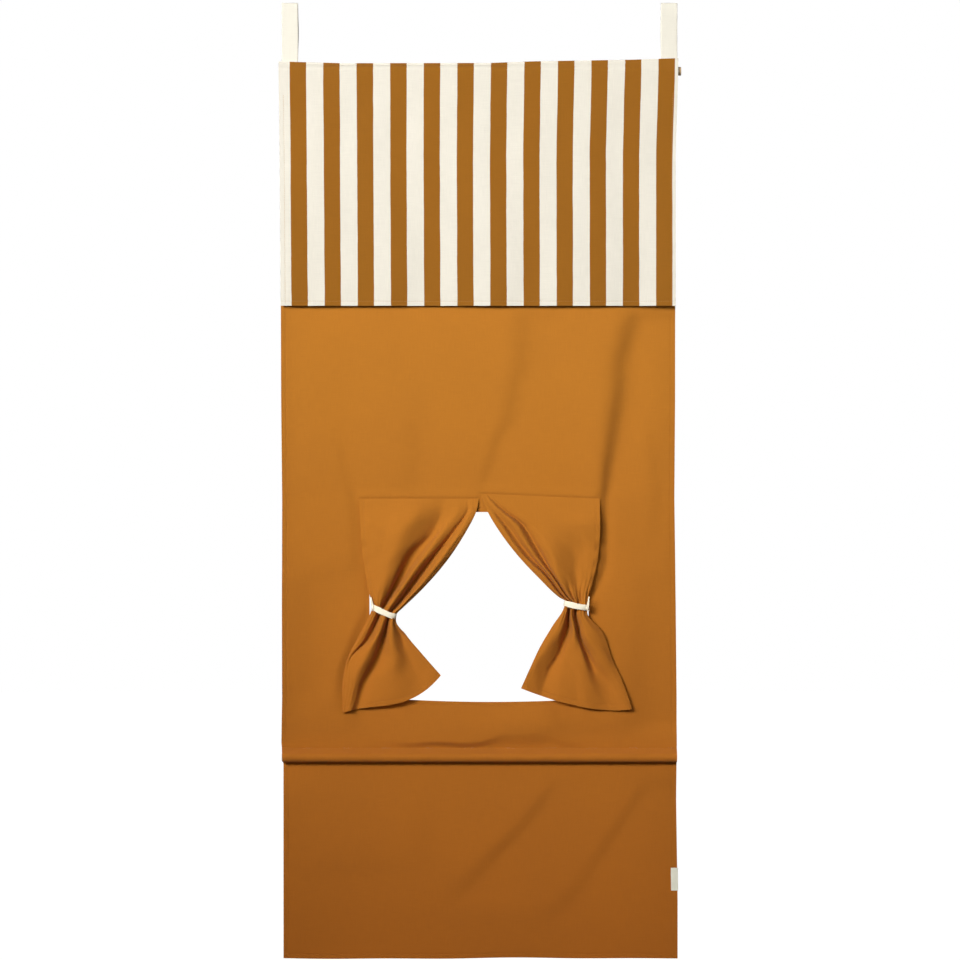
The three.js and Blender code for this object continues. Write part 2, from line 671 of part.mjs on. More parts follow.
// A tie: cotton tape once round the neck of the curtain, a small knot at the outer side, two short tails.
// It is drawn with X towards the outer side and Z along the bundle, then turned to the neck's own slope.
const TIE = { tape: 0.8, width: 10.5, halfDepth: 10, out: 12.9 };
const KNOT = { radius: 3.4 };
function tie(name, neck) {
  const inside = slotOutline(neck.halfLength, TIE.halfDepth);
  const band = slotOutline(neck.halfLength + TIE.tape, TIE.halfDepth + TIE.tape);
  band.holes.push(new THREE.Path(inside.getPoints(10)));
  const ring = new THREE.ExtrudeGeometry(band, {
    depth: TIE.width,
    bevelEnabled: false,
    curveSegments: 10,
  });
  ring.translate(0, 0, -TIE.width / 2);
  const knotX = neck.halfLength + TIE.tape + KNOT.radius * 0.6;
  const knot = new THREE.SphereGeometry(KNOT.radius, 10, 8);
  knot.rotateX(Math.PI / 2).scale(0.8, 1.1, 1.3).translate(knotX, 1.5, 0);
  const tail = (length, lean) => {
    const blade = new THREE.BoxGeometry(TIE.tape, TIE.width * 0.55, length);
    return blade.translate(0, 0, length / 2).rotateY(lean).translate(knotX, 1.5, 0);
  };
  const geometry = joined([ring, knot, tail(neck.upTail, neck.upLean), tail(neck.downTail, neck.downLean)]);
  const mesh = namedMesh(name, geometry, clothMaterial(COLOURS.cream));
  mesh.scale.x = neck.side;
  mesh.rotation.y = neck.slope;
  mesh.position.set(neck.x, -TIE.out, CURTAIN_SEAM - neck.drop);
  return mesh;
}

const LEFT_NECK = {
  side: -1,
  x: -175.2,
  drop: 208.8,
  slope: THREE.MathUtils.degToRad(23),
  halfLength: 23,
  upTail: 19,
  upLean: THREE.MathUtils.degToRad(12),
  downTail: 9,
  downLean: THREE.MathUtils.degToRad(165),
};
const RIGHT_NECK = {
  side: 1,
  x: 177.6,
  drop: 198,
  slope: THREE.MathUtils.degToRad(10.8),
  halfLength: 22.4,
  upTail: 16,
  upLean: THREE.MathUtils.degToRad(10),
  downTail: 8,
  downLean: THREE.MathUtils.degToRad(170),
};

const theatre = new THREE.Group();
theatre.add(
  hangingLoop("left_hanging_loop", -LOOP_MIDDLE),
  hangingLoop("right_hanging_loop", LOOP_MIDDLE),
  topRodPocket(),
  rod("top_dowel", TOP_ROD_AXIS, TOP_ROD),
  valance(),
  mainPanel(),
  windowFacing(),
  curtain(LEFT_CURTAIN),
  curtain(RIGHT_CURTAIN),
  tie("left_tie", LEFT_NECK),
  tie("right_tie", RIGHT_NECK),
  lowerRodPocket(),
  rod("lower_dowel", LOWER_ROD_AXIS, LOWER_ROD),
  lowerPanel(),
  sideLabel(),
);

export default theatre;
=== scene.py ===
import math

import bpy
import numpy as np
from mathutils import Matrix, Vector


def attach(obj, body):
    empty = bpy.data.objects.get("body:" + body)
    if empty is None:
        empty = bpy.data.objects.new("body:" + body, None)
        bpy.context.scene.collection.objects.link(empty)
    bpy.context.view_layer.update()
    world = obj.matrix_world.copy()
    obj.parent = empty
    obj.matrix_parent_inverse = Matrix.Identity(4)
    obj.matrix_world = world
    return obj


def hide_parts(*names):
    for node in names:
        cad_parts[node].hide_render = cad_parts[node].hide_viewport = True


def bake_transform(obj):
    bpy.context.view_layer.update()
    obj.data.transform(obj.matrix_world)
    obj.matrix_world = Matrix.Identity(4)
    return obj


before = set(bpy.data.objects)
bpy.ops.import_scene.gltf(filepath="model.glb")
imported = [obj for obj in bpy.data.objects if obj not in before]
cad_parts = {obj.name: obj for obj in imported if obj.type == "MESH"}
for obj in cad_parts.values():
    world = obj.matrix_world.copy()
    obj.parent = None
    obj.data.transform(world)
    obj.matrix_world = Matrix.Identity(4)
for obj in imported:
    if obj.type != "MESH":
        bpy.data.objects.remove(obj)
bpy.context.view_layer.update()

# The room. The theatre hangs as in a doorway two metres high and is seen square on from the
# audience's side with a long lens. Soft lamps stand left and right of the view and one behind the
# cloth, and the floor is plain and pale.
FLOOR = -2.0


def added(name, data):
    """A new object in the scene."""
    thing = bpy.data.objects.new(name, data)
    bpy.context.scene.collection.objects.link(thing)
    return thing


view_data = bpy.data.cameras.new("audience_view")
view_data.lens = 150
view_data.sensor_width = 36
view_data.clip_end = 80
audience_view = added("audience_view", view_data)
audience_view.location = (0.001, -7.36, -0.876)
audience_view.rotation_euler = (math.radians(90), 0, 0)
bpy.context.scene.camera = audience_view
bpy.context.scene.view_settings.view_transform = "Standard"


def soft_lamp(name, place, aim, size, watts, spread):
    """A lamp with a wide face. Its light spreads by so many degrees."""
    data = bpy.data.lights.new(name, "AREA")
    data.shape = "RECTANGLE"
    data.size, data.size_y = size
    data.energy = watts
    data.spread = math.radians(spread)
    lamp = added(name, data)
    lamp.location = place
    lamp.rotation_euler = (Vector(aim) - Vector(place)).to_track_quat("-Z", "Y").to_euler()


soft_lamp("left_lamp", (-2.6, -4.2, 0.9), (0.22, 0, -0.35), (2.6, 1.4), 37.3, 50)
soft_lamp("right_lamp", (1.8, -5.0, 0.6), (0, 0, -0.5), (1.4, 1.4), 2.9, 60)
soft_lamp("back_lamp", (1.2, 3.0, 0.4), (0, 0, -0.9), (2.0, 2.0), 80, 180)


class Wire:
    """A shader value that works in plain sums. Each sum adds its own node."""

    def __init__(self, tree, socket=None):
        self.tree = tree
        self.socket = socket

    def node(self, kind, settings=None, inputs=None, output=0):
        """A new node: its settings come first, then the values or links of its sockets."""
        made = self.tree.nodes.new("ShaderNode" + kind)
        for key, value in (settings or {}).items():
            setattr(made, key, value)
        for key, value in (inputs or {}).items():
            if isinstance(value, Wire):
                self.tree.links.new(value.socket, made.inputs[key])
            else:
                made.inputs[key].default_value = value
        return Wire(self.tree, made.outputs[output])

    def maths(self, operation, first, second=0.0):
        """A maths node's value."""
        return self.node("Math", {"operation": operation}, {0: first, 1: second})

    def __add__(self, other):
        return self.maths("ADD", self, other)

    __radd__ = __add__

    def __sub__(self, other):
        return self.maths("SUBTRACT", self, other)

    def __rsub__(self, other):
        return self.maths("SUBTRACT", other, self)

    def __mul__(self, other):
        return self.maths("MULTIPLY", self, other)

    __rmul__ = __mul__

    def wave(self, length):
        """A wave that runs from -1 to 1 and back once in each length of this value."""
        return self.maths("SINE", self * (2 * math.pi / length))

    def rise(self, low, high, curve="LINEAR"):
        """0 where this value is low, 1 where it is high."""
        return self.node("MapRange", {"interpolation_type": curve}, {0: self, 1: low, 2: high})

    def place(self):
        """Where a point of the surface is, in metres."""
        return self.node("TexCoord", output=3)

    def part(self, axis):
        """One of the three numbers of a place."""
        return self.node("SeparateXYZ", None, {0: self}, axis)

    def stretched(self, across, along, up):
        """A place with each of its three numbers multiplied."""
        return self.node("VectorMath", {"operation": "MULTIPLY"}, {0: self, 1: (across, along, up)})

    def noise(self, scale, detail=2.0):
        """Cloudy noise over a place."""
        return self.node("TexNoise", None, {"Vector": self, "Scale": scale, "Detail": detail})

    def into(self, shader, name):
        """A link to a named socket of a shader."""
        self.tree.links.new(self.socket, shader.inputs[name])


def seen(red, green, blue):
    """The linear colour of one that looks like this on a screen, from 0 to 255."""
    return (*(((c / 255 + 0.055) / 1.055) ** 2.4 for c in (red, green, blue)), 1)


def mixed(factor, first, second):
    """A colour between two: all of the first at factor 0, all of the second at 1."""
    return factor.node("Mix", {"data_type": "RGBA"}, {0: factor, 6: first, 7: second}, 2)


white, black = (1, 1, 1, 1), (0, 0, 0, 1)
white_room = bpy.data.worlds.new("white_room")
white_room.use_nodes = True
white_room.node_tree.nodes.clear()
bpy.context.scene.world = white_room
room = Wire(white_room.node_tree)
height = room.node("TexCoord").part(2)
fill = room.node("Background", None, {0: white, 1: 0.147 + 0.067 * height})
backdrop = room.node("Background", None, {0: white, 1: 1.0})
shown = room.node("MixShader", None, {0: room.node("LightPath"), 1: fill, 2: backdrop})
shown.into(room.tree.nodes.new("ShaderNodeOutputWorld"), 0)


def new_finish(name, values):
    """A material, its shader with the values that hold all over it, and the wire for its nodes."""
    finish = bpy.data.materials.new(name)
    finish.use_nodes = True
    shader = finish.node_tree.nodes["Principled BSDF"]
    for key, value in values.items():
        shader.inputs[key].default_value = value
    return finish, shader, Wire(finish.node_tree)


floor_values = {"Roughness": 0.8, "Emission Strength": 1.0}
floor_finish, floor_shader, wire = new_finish("pale_floor", floor_values)
reach = wire.node("VectorMath", {"operation": "LENGTH"}, {0: wire.place()}, 1)
edge = reach.rise(0.9, 1.9, "SMOOTHSTEP")
mixed(edge, (0.9, 0.89, 0.87, 1), black).into(floor_shader, "Base Color")
mixed(edge, black, white).into(floor_shader, "Emission Color")
bpy.ops.mesh.primitive_circle_add(
    vertices=96, radius=14, fill_type="TRIFAN", location=(0, 0, FLOOR)
)
floor = bpy.context.object
floor.name = "pale_floor"
floor.data.materials.append(floor_finish)
floor.visible_diffuse = False
floor.visible_glossy = False

# The main panel. It is the theatre's body: one length of ochre cotton canvas, hemmed at both sides
# by turning it twice to the back, with the stage window cut through it. It hangs from the top rod
# in soft folds, and its lower end is drawn straight by the second rod.
TOP = -0.106
HALF_WIDTH = 0.365
CLOTH = 0.0008
HEM_WIDTH = 0.010
HEM = 3 * CLOTH
SIDE_HEM_TOP = -0.164
WINDOW_SIDE = 0.203
WINDOW_TOP = -0.935
WINDOW_BOTTOM = -1.284
TUCK_SEAM = -1.369
TUCK_OUT = 0.0015
GRID = 0.0055
NEAR = 1e-6
STITCH_IN = 0.0085
STITCH_PITCH = 0.0034
STITCH_LENGTH = 0.0028
THREAD_SUNK = 0.0002


def seam_dent(distance):
    """How far a row of stitches pulls the cloth in, at this distance from it."""
    return 0.0003 * np.exp(-((distance / 0.0009) ** 2))


def between(start, end, step):
    """Evenly spaced numbers from start towards end, about a step apart, without the end."""
    count = max(1, round(abs(end - start) / step))
    return list(np.linspace(start, end, count, endpoint=False))


def past(low, high, value):
    """0 before low, 1 past high and a smooth rise between them."""
    t = np.clip((value - low) / (high - low), 0, 1)
    return t * t * (3 - 2 * t)


def unit(vectors):
    """The same directions, each one long."""
    return vectors / np.maximum(np.linalg.norm(vectors, axis=-1, keepdims=True), 1e-12)


def along_path(path):
    """How far along a path each of its points is."""
    return np.concatenate([[0], np.cumsum(np.linalg.norm(np.diff(path, axis=0), axis=1))])


def table(text):
    """The numbers in lines of text."""
    return np.array([line.split() for line in text.strip().splitlines()], float)


def folds(text):
    """Folds in millimetres, with an empty line between one fold and the next.

    A fold's lines go from its upper end down: X, Z, half width, how far it stands out, and how
    steeply it falls back to the right, with its left side forward and its right side back.
    """
    return [table(fold) / (1000, 1000, 1000, 1000, 1) for fold in text.split("\n\n")]


def soft_folds(x, z, lines):
    """How far long soft folds stand out towards the audience."""
    x, z = np.broadcast_arrays(x, z)
    total = np.zeros(x.shape)
    for line in lines:
        line = line[::-1].T
        centre, width, rise, lean = (np.interp(z, line[1], values) for values in line[[0, 2, 3, 4]])
        off = (x - centre) / width
        low, high = line[1, [0, -1]]
        ends = past(low - 0.030, low + 0.010, z) * (1 - past(high - 0.010, high + 0.030, z))
        total += (rise * np.exp(-(off**2) / 2) - lean * width * off / (1 + off**2)) * ends
    return total


def new_piece(name, points, faces, flat, finish):
    """A mesh object from points and faces. Flat holds each point's place on the cut cloth."""
    mesh = bpy.data.meshes.new(name)
    mesh.from_pydata(points.tolist(), [], faces)
    corners = np.zeros(len(mesh.loops), np.int32)
    mesh.loops.foreach_get("vertex_index", corners)
    layer = mesh.uv_layers.new(name="flat")
    layer.uv.foreach_set("vector", flat[corners].astype(np.float32).ravel())
    mesh.materials.append(finish)
    mesh.shade_smooth()
    mesh.set_sharp_from_angle(angle=math.radians(55))
    return added(name, mesh)


def sewn_sheet(name, front, back, flat, finish, cloth=None):
    """A closed sheet between a front and a back grid. Cloth says which of their cells are there."""
    rows, columns = front.shape[:2]
    total = rows * columns
    number = np.arange(total).reshape(rows, columns)
    if cloth is None:
        cloth = np.ones((rows - 1, columns - 1), bool)
    wide = np.pad(cloth, 1)
    beside = [wide[1:-1, :-2], wide[2:, 1:-1], wide[1:-1, 2:], wide[:-2, 1:-1]]
    corners = [number[:-1, :-1], number[1:, :-1], number[1:, 1:], number[:-1, 1:]]
    quads = [
        np.stack([c[cloth] for c in corners], 1),
        np.stack([c[cloth] + total for c in corners[::-1]], 1),
    ]
    for k in range(4):
        rim = cloth & ~beside[k]
        start, end = corners[k][rim], corners[(k + 1) % 4][rim]
        quads.append(np.stack([end, start, start + total, end + total], 1))
    used, quads = np.unique(np.concatenate(quads), return_inverse=True)
    points = np.concatenate([front.reshape(-1, 3), back.reshape(-1, 3)])[used]
    places = np.concatenate([flat.reshape(-1, 2)] * 2)[used]
    return new_piece(name, points, quads.reshape(-1, 4).tolist(), places, finish)


def rides(piece, body, node=None):
    """Hide the CAD node that a piece stands for, if one is given, and hang the piece on its body.
    """
    if node:
        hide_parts(node)
    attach(piece, body)


def weave(wire, pitch):
    """Plain weave in the flat cloth's own metres: the height of its threads and its uneven yarn."""
    flat = wire.node("UVMap", {"uv_map": "flat"})
    across, down = flat.part(0), flat.part(1)
    over = across.wave(2 * pitch) * down.wave(2 * pitch) * 0.5 + 0.5
    height = over * across.wave(pitch) + (1 - over) * down.wave(pitch)
    fine, drawn = 1 / pitch, 0.025 / pitch
    yarn = flat.stretched(fine, drawn, 1).noise(1.0) + flat.stretched(drawn, fine, 1).noise(1.0)
    return across, down, height, yarn - 1


def shaded(colour, strength):
    """A colour made lighter or darker."""
    colour = colour if isinstance(colour, Wire) else colour[:3]
    return strength.node("VectorMath", {"operation": "SCALE"}, {0: colour, 3: strength})


def bumped(shader, height, strength, distance):
    """Let a height stand out of a surface, by up to this distance."""
    inputs = {"Strength": strength, "Distance": distance, "Height": height}
    height.node("Bump", None, inputs).into(shader, "Normal")


def canvas(name, dye_and_painted_shade, fade=0.05):
    """Cotton canvas, coloured by the given function of the place across and down the flat cloth.
    For the ochre, that colour also holds painted shade that darkens it towards the floor.
    """
    values = {"Sheen Weight": 0.05, "Sheen Roughness": 0.5, "Specular IOR Level": 0.15}
    finish, shader, wire = new_finish(name, values)
    across, down, height, yarn = weave(wire, 0.0007)
    cloudy, worn = wire.place().noise(5.5, 3.0), wire.place().noise(60.0, 4.0)
    # Painted shade: the weave's height makes its raised threads a little lighter and the gaps
    # between them a little darker.
    strength = 1 + 2 * fade * (cloudy - 0.5) + 0.16 * yarn + 0.04 * (worn - 0.5) + 0.03 * height
    shaded(dye_and_painted_shade(wire, across, down), strength).into(shader, "Base Color")
    (0.84 + 0.12 * cloudy).into(shader, "Roughness")
    bumped(shader, 0.6 * height + 1.6 * yarn + 1.2 * worn, 0.35, 0.0003)
    return finish


def ochre(wire, across, down):
    """The ochre colour, with painted shade: it is made a little darker towards the floor, where
    less light falls.
    """
    # Painted shade: the colour darkens from a height of -0.70 m down to -1.75 m, in place of the
    # lamps' light falling off towards the floor.
    return mixed(wire.place().part(2).rise(-0.70, -1.75), seen(174, 109, 32), seen(174, 99, 28))


ochre_canvas = canvas("ochre_canvas", ochre)


def thread(name, colour):
    """Sewing thread: a twisted yarn with a faint gloss."""
    finish, shader, wire = new_finish(name, {"Roughness": 0.7, "Specular IOR Level": 0.2})
    twist = wire.place().noise(900.0)
    shaded(colour, 0.85 + 0.3 * twist).into(shader, "Base Color")
    bumped(shader, twist, 0.3, 0.0001)
    return finish


ochre_thread = thread("ochre_thread", seen(176, 112, 39))


def tube_faces(rings, around):
    """The faces of a tube whose points go round it ring by ring."""
    ring, k = np.arange(rings - 1)[:, None] * around, np.arange(around)
    start, end = (ring + k).ravel(), (ring + (k + 1) % around).ravel()
    return np.stack([start, end, end + around, start + around], 1).tolist()


def stitches(name, runs, finish, thickness=0.00042):
    """Short threads along runs of points on the cloth. Each run also says which way is out."""
    centres, alongs, outs = [], [], []
    for points, out in runs:
        points = np.asarray(points, float)
        out = np.broadcast_to(np.asarray(out, float), points.shape)
        far = along_path(points)
        at = np.arange(STITCH_PITCH / 2, far[-1] - STITCH_PITCH / 2, STITCH_PITCH)
        here, ahead, outward = (
            np.stack([np.interp(where, far, v[:, k]) for k in range(3)], 1)
            for where, v in ((at, points), (at + STITCH_LENGTH / 4, points), (at, out))
        )
        centres.append(here)
        alongs.append(unit(ahead - here))
        outs.append(outward)
    centre, along, out = (np.concatenate(v) for v in (centres, alongs, outs))
    side = unit(np.cross(along, out))
    out = np.cross(side, along)
    points = []
    stations = ((-0.5, 0.3, -0.3), (-0.3, 1, 0.25), (0.3, 1, 0.25), (0.5, 0.3, -0.3))
    for share, width, lift in stations:
        middle = centre + along * share * STITCH_LENGTH + out * lift * thickness
        for angle in np.linspace(0, 2 * math.pi, 5, endpoint=False):
            round_it = side * math.cos(angle) + out * math.sin(angle)
            points.append(middle + round_it * width * thickness / 2)
    points = np.stack(points, 1).reshape(-1, 3)
    pattern = tube_faces(4, 5) + [[4, 3, 2, 1, 0], [15, 16, 17, 18, 19]]
    faces = [[20 * s + v for v in face] for s in range(len(centre)) for face in pattern]
    return new_piece(name, points, faces, np.zeros((len(points), 2)), finish)


MAIN_FOLDS = folds("""
    283 -578 30 0 .34
    273 -618 29 0 .40
    261 -664 28 0 .40
    260 -710 26 0 .45
    253 -756 24 0 .52
    246 -802 21 0 .57
    239 -848 18 0 .66
    235.5 -885 14 0 .74
    233 -910 9.5 -1.5 .75
    232.5 -950 8.5 -2.5 .80
    232.5 -1025 8.5 -2.5 .80
    227.5 -1045 8.5 -2.5 .75
    220.5 -1063 8.5 -2.5 .70
    207 -1085 8.5 -2 .60

    -208 -1115 9 0 .30
    -228 -1158 9 0 .55
    -241 -1192 9 0 .60
    -256 -1228 10 0 .50
    -262 -1283 12 0 .30

    80 -578 34 0 .15
    78 -664 32 0 .16
    62 -710 28 0 .17
    56 -756 24 0 .18
    32 -802 19 0 .19
    19 -848 15 0 .20
    5 -885 12 0 .14

    -80 -565 20 0 .06
    -60 -620 20 0 .02

    -115 -700 28 0 .02
    -120 -800 28 0 .08
    -128 -880 24 0 .09

    -262 -790 16 0 .06
    -250 -860 16 0 .12
    -233 -920 14 0 .20
    -229 -1030 14 0 .18

    -290 -600 34 1.2 0
    -300 -880 30 1.2 .03

    -325 -1060 45 0 .12
    -325 -1260 45 0 .12

    318 -800 16 .4 .10
    332 -900 15 0 .15
    322 -980 20 0 .05

    310 -1060 40 0 .08
    290 -1240 50 0 .14
    290 -1330 50 0 .16

    -215 -1295 20 -1.6 .10
    -240 -1345 20 -1 .08

    130 -1290 22 0 .12
    165 -1350 18 0 .18
""")


def seam_line(x):
    """The height of the curtains' seam. Its right half climbs towards the middle."""
    return -0.9100 + 0.0095 * past(0.0, 0.004, x) * (1 - np.clip(x / 0.2215, 0, 1))


def seam_tuck(x, z):
    """The low, narrow tuck that covers the curtains' upper edges, and flattens where they meet."""
    below = z - seam_line(x) + 0.0016
    out = TUCK_OUT * past(0.0, 0.0060, below) * (1 - past(0.0060, 0.0240, below))
    meeting = np.exp(-(((x - 0.0015) / 0.0035) ** 2))
    return out * past(0.2235, 0.2205, np.abs(x)) * (1 - 0.8 * meeting)


def droop(x, z):
    """The slack between the window and the lower rod. It bulges, and ends in a crease."""
    crease = -1.3685 + 0.0012 * np.sin(x / 0.016)
    underside = 0.012 + 0.016 * past(0.0, 0.05, x) * (1 - past(0.12, 0.16, x))
    fullest = crease + underside
    bulge = past(crease, fullest, z) * (1 - past(fullest, WINDOW_BOTTOM + 0.004, z))
    return 0.0070 * bulge * np.exp(-(((x - 0.005) / 0.155) ** 4))


def main_depth(x, z):
    """The depth of the main panel's middle surface. Its left edge curls forward, its right back."""
    free = past(-0.1375, -0.26, z) * past(TUCK_SEAM, TUCK_SEAM + 0.05, z)
    ripple = 0.0003 * np.sin(x / 0.021 + 3 * z) * past(-0.5, -0.62, z)
    curl = 0.0052 * np.exp(-(x + HALF_WIDTH) / 0.024) - 0.0050 * np.exp((x - HALF_WIDTH) / 0.045)
    return -(soft_folds(x, z, MAIN_FOLDS) + ripple + curl) * free - droop(x, z) - seam_tuck(x, z)


# In millimetres: a height, and how far the left and the right edge hang to the right there.
SWAY = table("""
    -1756 4.8 0
    -1650 4.8 0
    -1465 4.8 -2.7
    -1400 4.4 -2.4
    -1360 .6 -1.8
    -1280 2.2 -1.8
    -1100 1.8 -3.6
    -910 2.2 -6
    -730 .4 -4.6
    -556 -.2 -4.4
    -280 -2.2 -4.4
    -200 -3 -2
    -106 -4.5 1
""").T / 1000


def sway(x, z):
    """How far the cloth hangs out of its straight lines, to the right."""
    left, right = (np.interp(z, SWAY[0], edge) for edge in SWAY[1:])
    return left + (right - left) * (x / HALF_WIDTH + 1) / 2


def window_sag(x, z):
    """How far the cloth sinks at the window's lower edge. Off the middle it is drawn up instead."""
    drawn_up = 0.0045 * np.clip(np.abs(x - 0.02) / 0.16, 0, 1) ** 2 - 0.0002
    return -drawn_up * past(-0.95, WINDOW_BOTTOM, z) * past(TUCK_SEAM, WINDOW_BOTTOM, z)


def hung(x, y, z):
    """Points of the hanging cloth from their straight places."""
    x, y, z = np.broadcast_arrays(x, y, z)
    return np.stack([x + sway(x, z), y, z - window_sag(x, z)], -1)


def hem_marks(edge, sign):
    """Grid lines beside a hemmed edge: its fold, its stitches and its inner edge."""
    marks = (0, 0.0004, 0.0015, 0.004, 0.0066, 0.0077, STITCH_IN, 0.0093, HEM_WIDTH, 0.0106)
    return [edge + sign * mark for mark in marks]


def fold_thickness(distance):
    """The thickness of a hemmed edge: three layers, rounded at the fold."""
    turned = np.where(distance <= HEM_WIDTH + NEAR, HEM, CLOTH)
    return np.where(distance < 0.0003, 0.45 * HEM, turned)


def from_window(x, z):
    """How far outside the window's edge a place is. It is negative in the window."""
    return np.maximum.reduce([np.abs(x) - WINDOW_SIDE, z - WINDOW_TOP, WINDOW_BOTTOM - z])


def round_window(x, z, gap=0.0):
    """Which cells of a grid lie farther than this gap outside the window's edge."""
    middle_x, middle_z = ((v[:-1, :-1] + v[1:, 1:]) / 2 for v in (x, z))
    return from_window(middle_x, middle_z) > gap


left_hem = hem_marks(-HALF_WIDTH, 1)
right_hem = hem_marks(HALF_WIDTH, -1)[::-1]
side_of_window = [WINDOW_SIDE, 0.2062, 0.2085, 0.2100, 0.2115, 0.214]
columns = np.array(
    left_hem
    + between(-0.350, -0.214, GRID)
    + [-x for x in side_of_window[::-1]]
    + between(-0.2005, WINDOW_SIDE, GRID)
    + side_of_window
    + between(0.2185, 0.3495, GRID)
    + [0.3495]
    + right_hem
)
WINDOW_STITCHES = 0.007
beyond_window = [0, 0.003, 0.0055, WINDOW_STITCHES, 0.0085, 0.011]
rows = np.array(
    [-0.1375, -0.145, -0.152, -0.158, -0.1634, SIDE_HEM_TOP]
    + between(-0.170, -0.894, GRID)
    + between(-0.894, -0.914, 0.0008)
    + between(-0.914, WINDOW_TOP + 0.011, 0.0030)
    + [WINDOW_TOP + mark for mark in beyond_window[::-1]]
    + between(WINDOW_TOP - 0.004, WINDOW_BOTTOM, 0.006)
    + [WINDOW_BOTTOM - mark for mark in beyond_window]
    + between(-1.2985, -1.340, 0.004)
    + between(-1.340, TUCK_SEAM, 0.0018)
    + [TUCK_SEAM]
)
x, z = np.meshgrid(columns, rows)
from_side = HALF_WIDTH - np.abs(x)
in_hem = z < SIDE_HEM_TOP + NEAR
dent = seam_dent(from_side - STITCH_IN) * in_hem + seam_dent(from_window(x, z) - WINDOW_STITCHES)
front = main_depth(x, z) - CLOTH / 2 + dent
back = front + np.where(in_hem, fold_thickness(from_side), CLOTH) - dent
main_panel = sewn_sheet(
    "main_panel_cloth",
    hung(x, front, z),
    hung(x, back, z),
    np.stack([x, z], -1),
    ochre_canvas,
    round_window(x, z),
)
rides(main_panel, "hanging_cloth", "main_panel")


def on_main(x, z, outside):
    """A row of stitches on the main panel: outside is -1 on the front and 1 on the back."""
    y = main_depth(x, z) - CLOTH / 2
    if outside > 0:
        y = y + np.where(np.abs(x) > HALF_WIDTH - HEM_WIDTH, HEM, CLOTH)
    return hung(x, y - outside * THREAD_SUNK, z), (0, outside, 0)


def four_runs(on_cloth, away):
    """Four rows of stitches round the window, so far outside its edge."""
    side, top, bottom = WINDOW_SIDE + away, WINDOW_TOP + away, WINDOW_BOTTOM - away
    across, up = np.linspace(-side, side, 120), np.linspace(bottom, top, 100)
    return [on_cloth(x, z) for x, z in ((across, top), (across, bottom), (-side, up), (side, up))]


hem_x = HALF_WIDTH - STITCH_IN
down_hem = np.linspace(-0.170, TUCK_SEAM - 0.001, 240)
main_runs = []
for outside in (-1, 1):
    main_runs += [on_main(side * hem_x, down_hem, outside) for side in (-1, 1)]
    main_runs += four_runs(lambda x, z: on_main(x, z, outside), WINDOW_STITCHES)
main_stitches = stitches("main_panel_stitches", main_runs, ochre_thread)
rides(main_stitches, "hanging_cloth")

# The window's facing. A strip of the same canvas is sewn round the window on the back and turned in
# at its outer edge, so that the cut edge of the window doesn't fray.
FACING_WIDTH = 0.025
FACING = 0.0006
FACING_GAP = 0.0005
FACING_BEHIND = 0.0002
FACING_STITCHES = 0.0220
marks = [0, 0.0065, 0.012, 0.018, 0.0213, FACING_STITCHES, 0.0227, 0.0245, FACING_WIDTH]
marks = [FACING_GAP + mark for mark in marks]
columns = [WINDOW_SIDE + mark for mark in marks]
columns = np.array([-x for x in columns[::-1]] + between(-0.196, 0.2, 0.0075) + columns)
rows = np.array(
    [WINDOW_TOP + mark for mark in marks[::-1]]
    + between(WINDOW_TOP - 0.006, WINDOW_BOTTOM, 0.0075)
    + [WINDOW_BOTTOM - mark for mark in marks]
)
x, z = np.meshgrid(columns, rows)
front = main_depth(x, z) + CLOTH / 2 + FACING_BEHIND
back = front + FACING - seam_dent(from_window(x, z) - FACING_GAP - FACING_STITCHES)
window_facing = sewn_sheet(
    "window_facing_strip",
    hung(x, front, z),
    hung(x, back, z),
    np.stack([x, z], -1),
    ochre_canvas,
    round_window(x, z, FACING_GAP),
)
rides(window_facing, "hanging_cloth", "window_facing")


def on_facing(x, z):
    """A row of stitches on the back of the facing."""
    return hung(x, main_depth(x, z) + CLOTH / 2 + FACING, z), (0, 1, 0)


facing_runs = four_runs(on_facing, FACING_GAP + FACING_STITCHES)
facing_stitches = stitches("window_facing_stitches", facing_runs, ochre_thread)
rides(facing_stitches, "hanging_cloth")

# The tunnel for the top rod. The canvas's upper end is turned over the rod, and both of its layers
# are sewn to the main panel just below it, with two rows of stitches.
TOP_ROD = (0.0, -0.124)
ROD_RADIUS = 0.008
ROD_PLAY = 0.0005
POCKET_RADIUS = ROD_RADIUS + ROD_PLAY + CLOTH / 2
POCKET_PINCH = 0.0006
POCKET_FLANGE_Y = 0.0011
PINCH_ABOVE = 0.015
PINCH_BELOW = 0.013
THREAD_PROUD = 0.0001


def arc_about(axis, radius, start, end, count):
    """Points on a circle in Y and Z. Angles are in degrees, from straight up to the audience."""
    angle = np.radians(np.linspace(start, end, count))
    return np.stack([axis[0] - radius * np.sin(angle), axis[1] + radius * np.cos(angle)], 1)


def touch_angle(axis, radius, y, z):
    """The angle where a line from a point touches a circle, on the audience's side."""
    across, up = axis[0] - y, z - axis[1]
    return np.degrees(np.arctan2(across, up) + np.arccos(radius / np.hypot(across, up)))


def over_top_rod(radius, y_above, y_below, tail):
    """The front half of a layer that hugs the top rod, from its lower end up to the pinch."""
    start = touch_angle(TOP_ROD, radius, y_above, TOP_ROD[1] + PINCH_ABOVE)
    end = 180 - touch_angle(TOP_ROD, radius, y_below, TOP_ROD[1] + PINCH_BELOW)
    z_below = TOP_ROD[1] - PINCH_BELOW
    straight = np.linspace(z_below - tail, z_below, max(3, round(tail / 0.002)))
    return np.concatenate([
        np.stack([np.full(len(straight), y_below), straight], 1),
        arc_about(TOP_ROD, radius, end, start, 22),
        [(y_above, TOP_ROD[1] + PINCH_ABOVE)],
    ])


def behind(half):
    """The same half of a path, down the back."""
    return half[::-1] * (-1, 1)


def swept(across, path):
    """A grid that carries a path across: X, Y, Z and how far along the path each point is."""
    x, row = np.meshgrid(across, np.arange(len(path)))
    return x, path[row, 0], path[row, 1], along_path(path)[row]


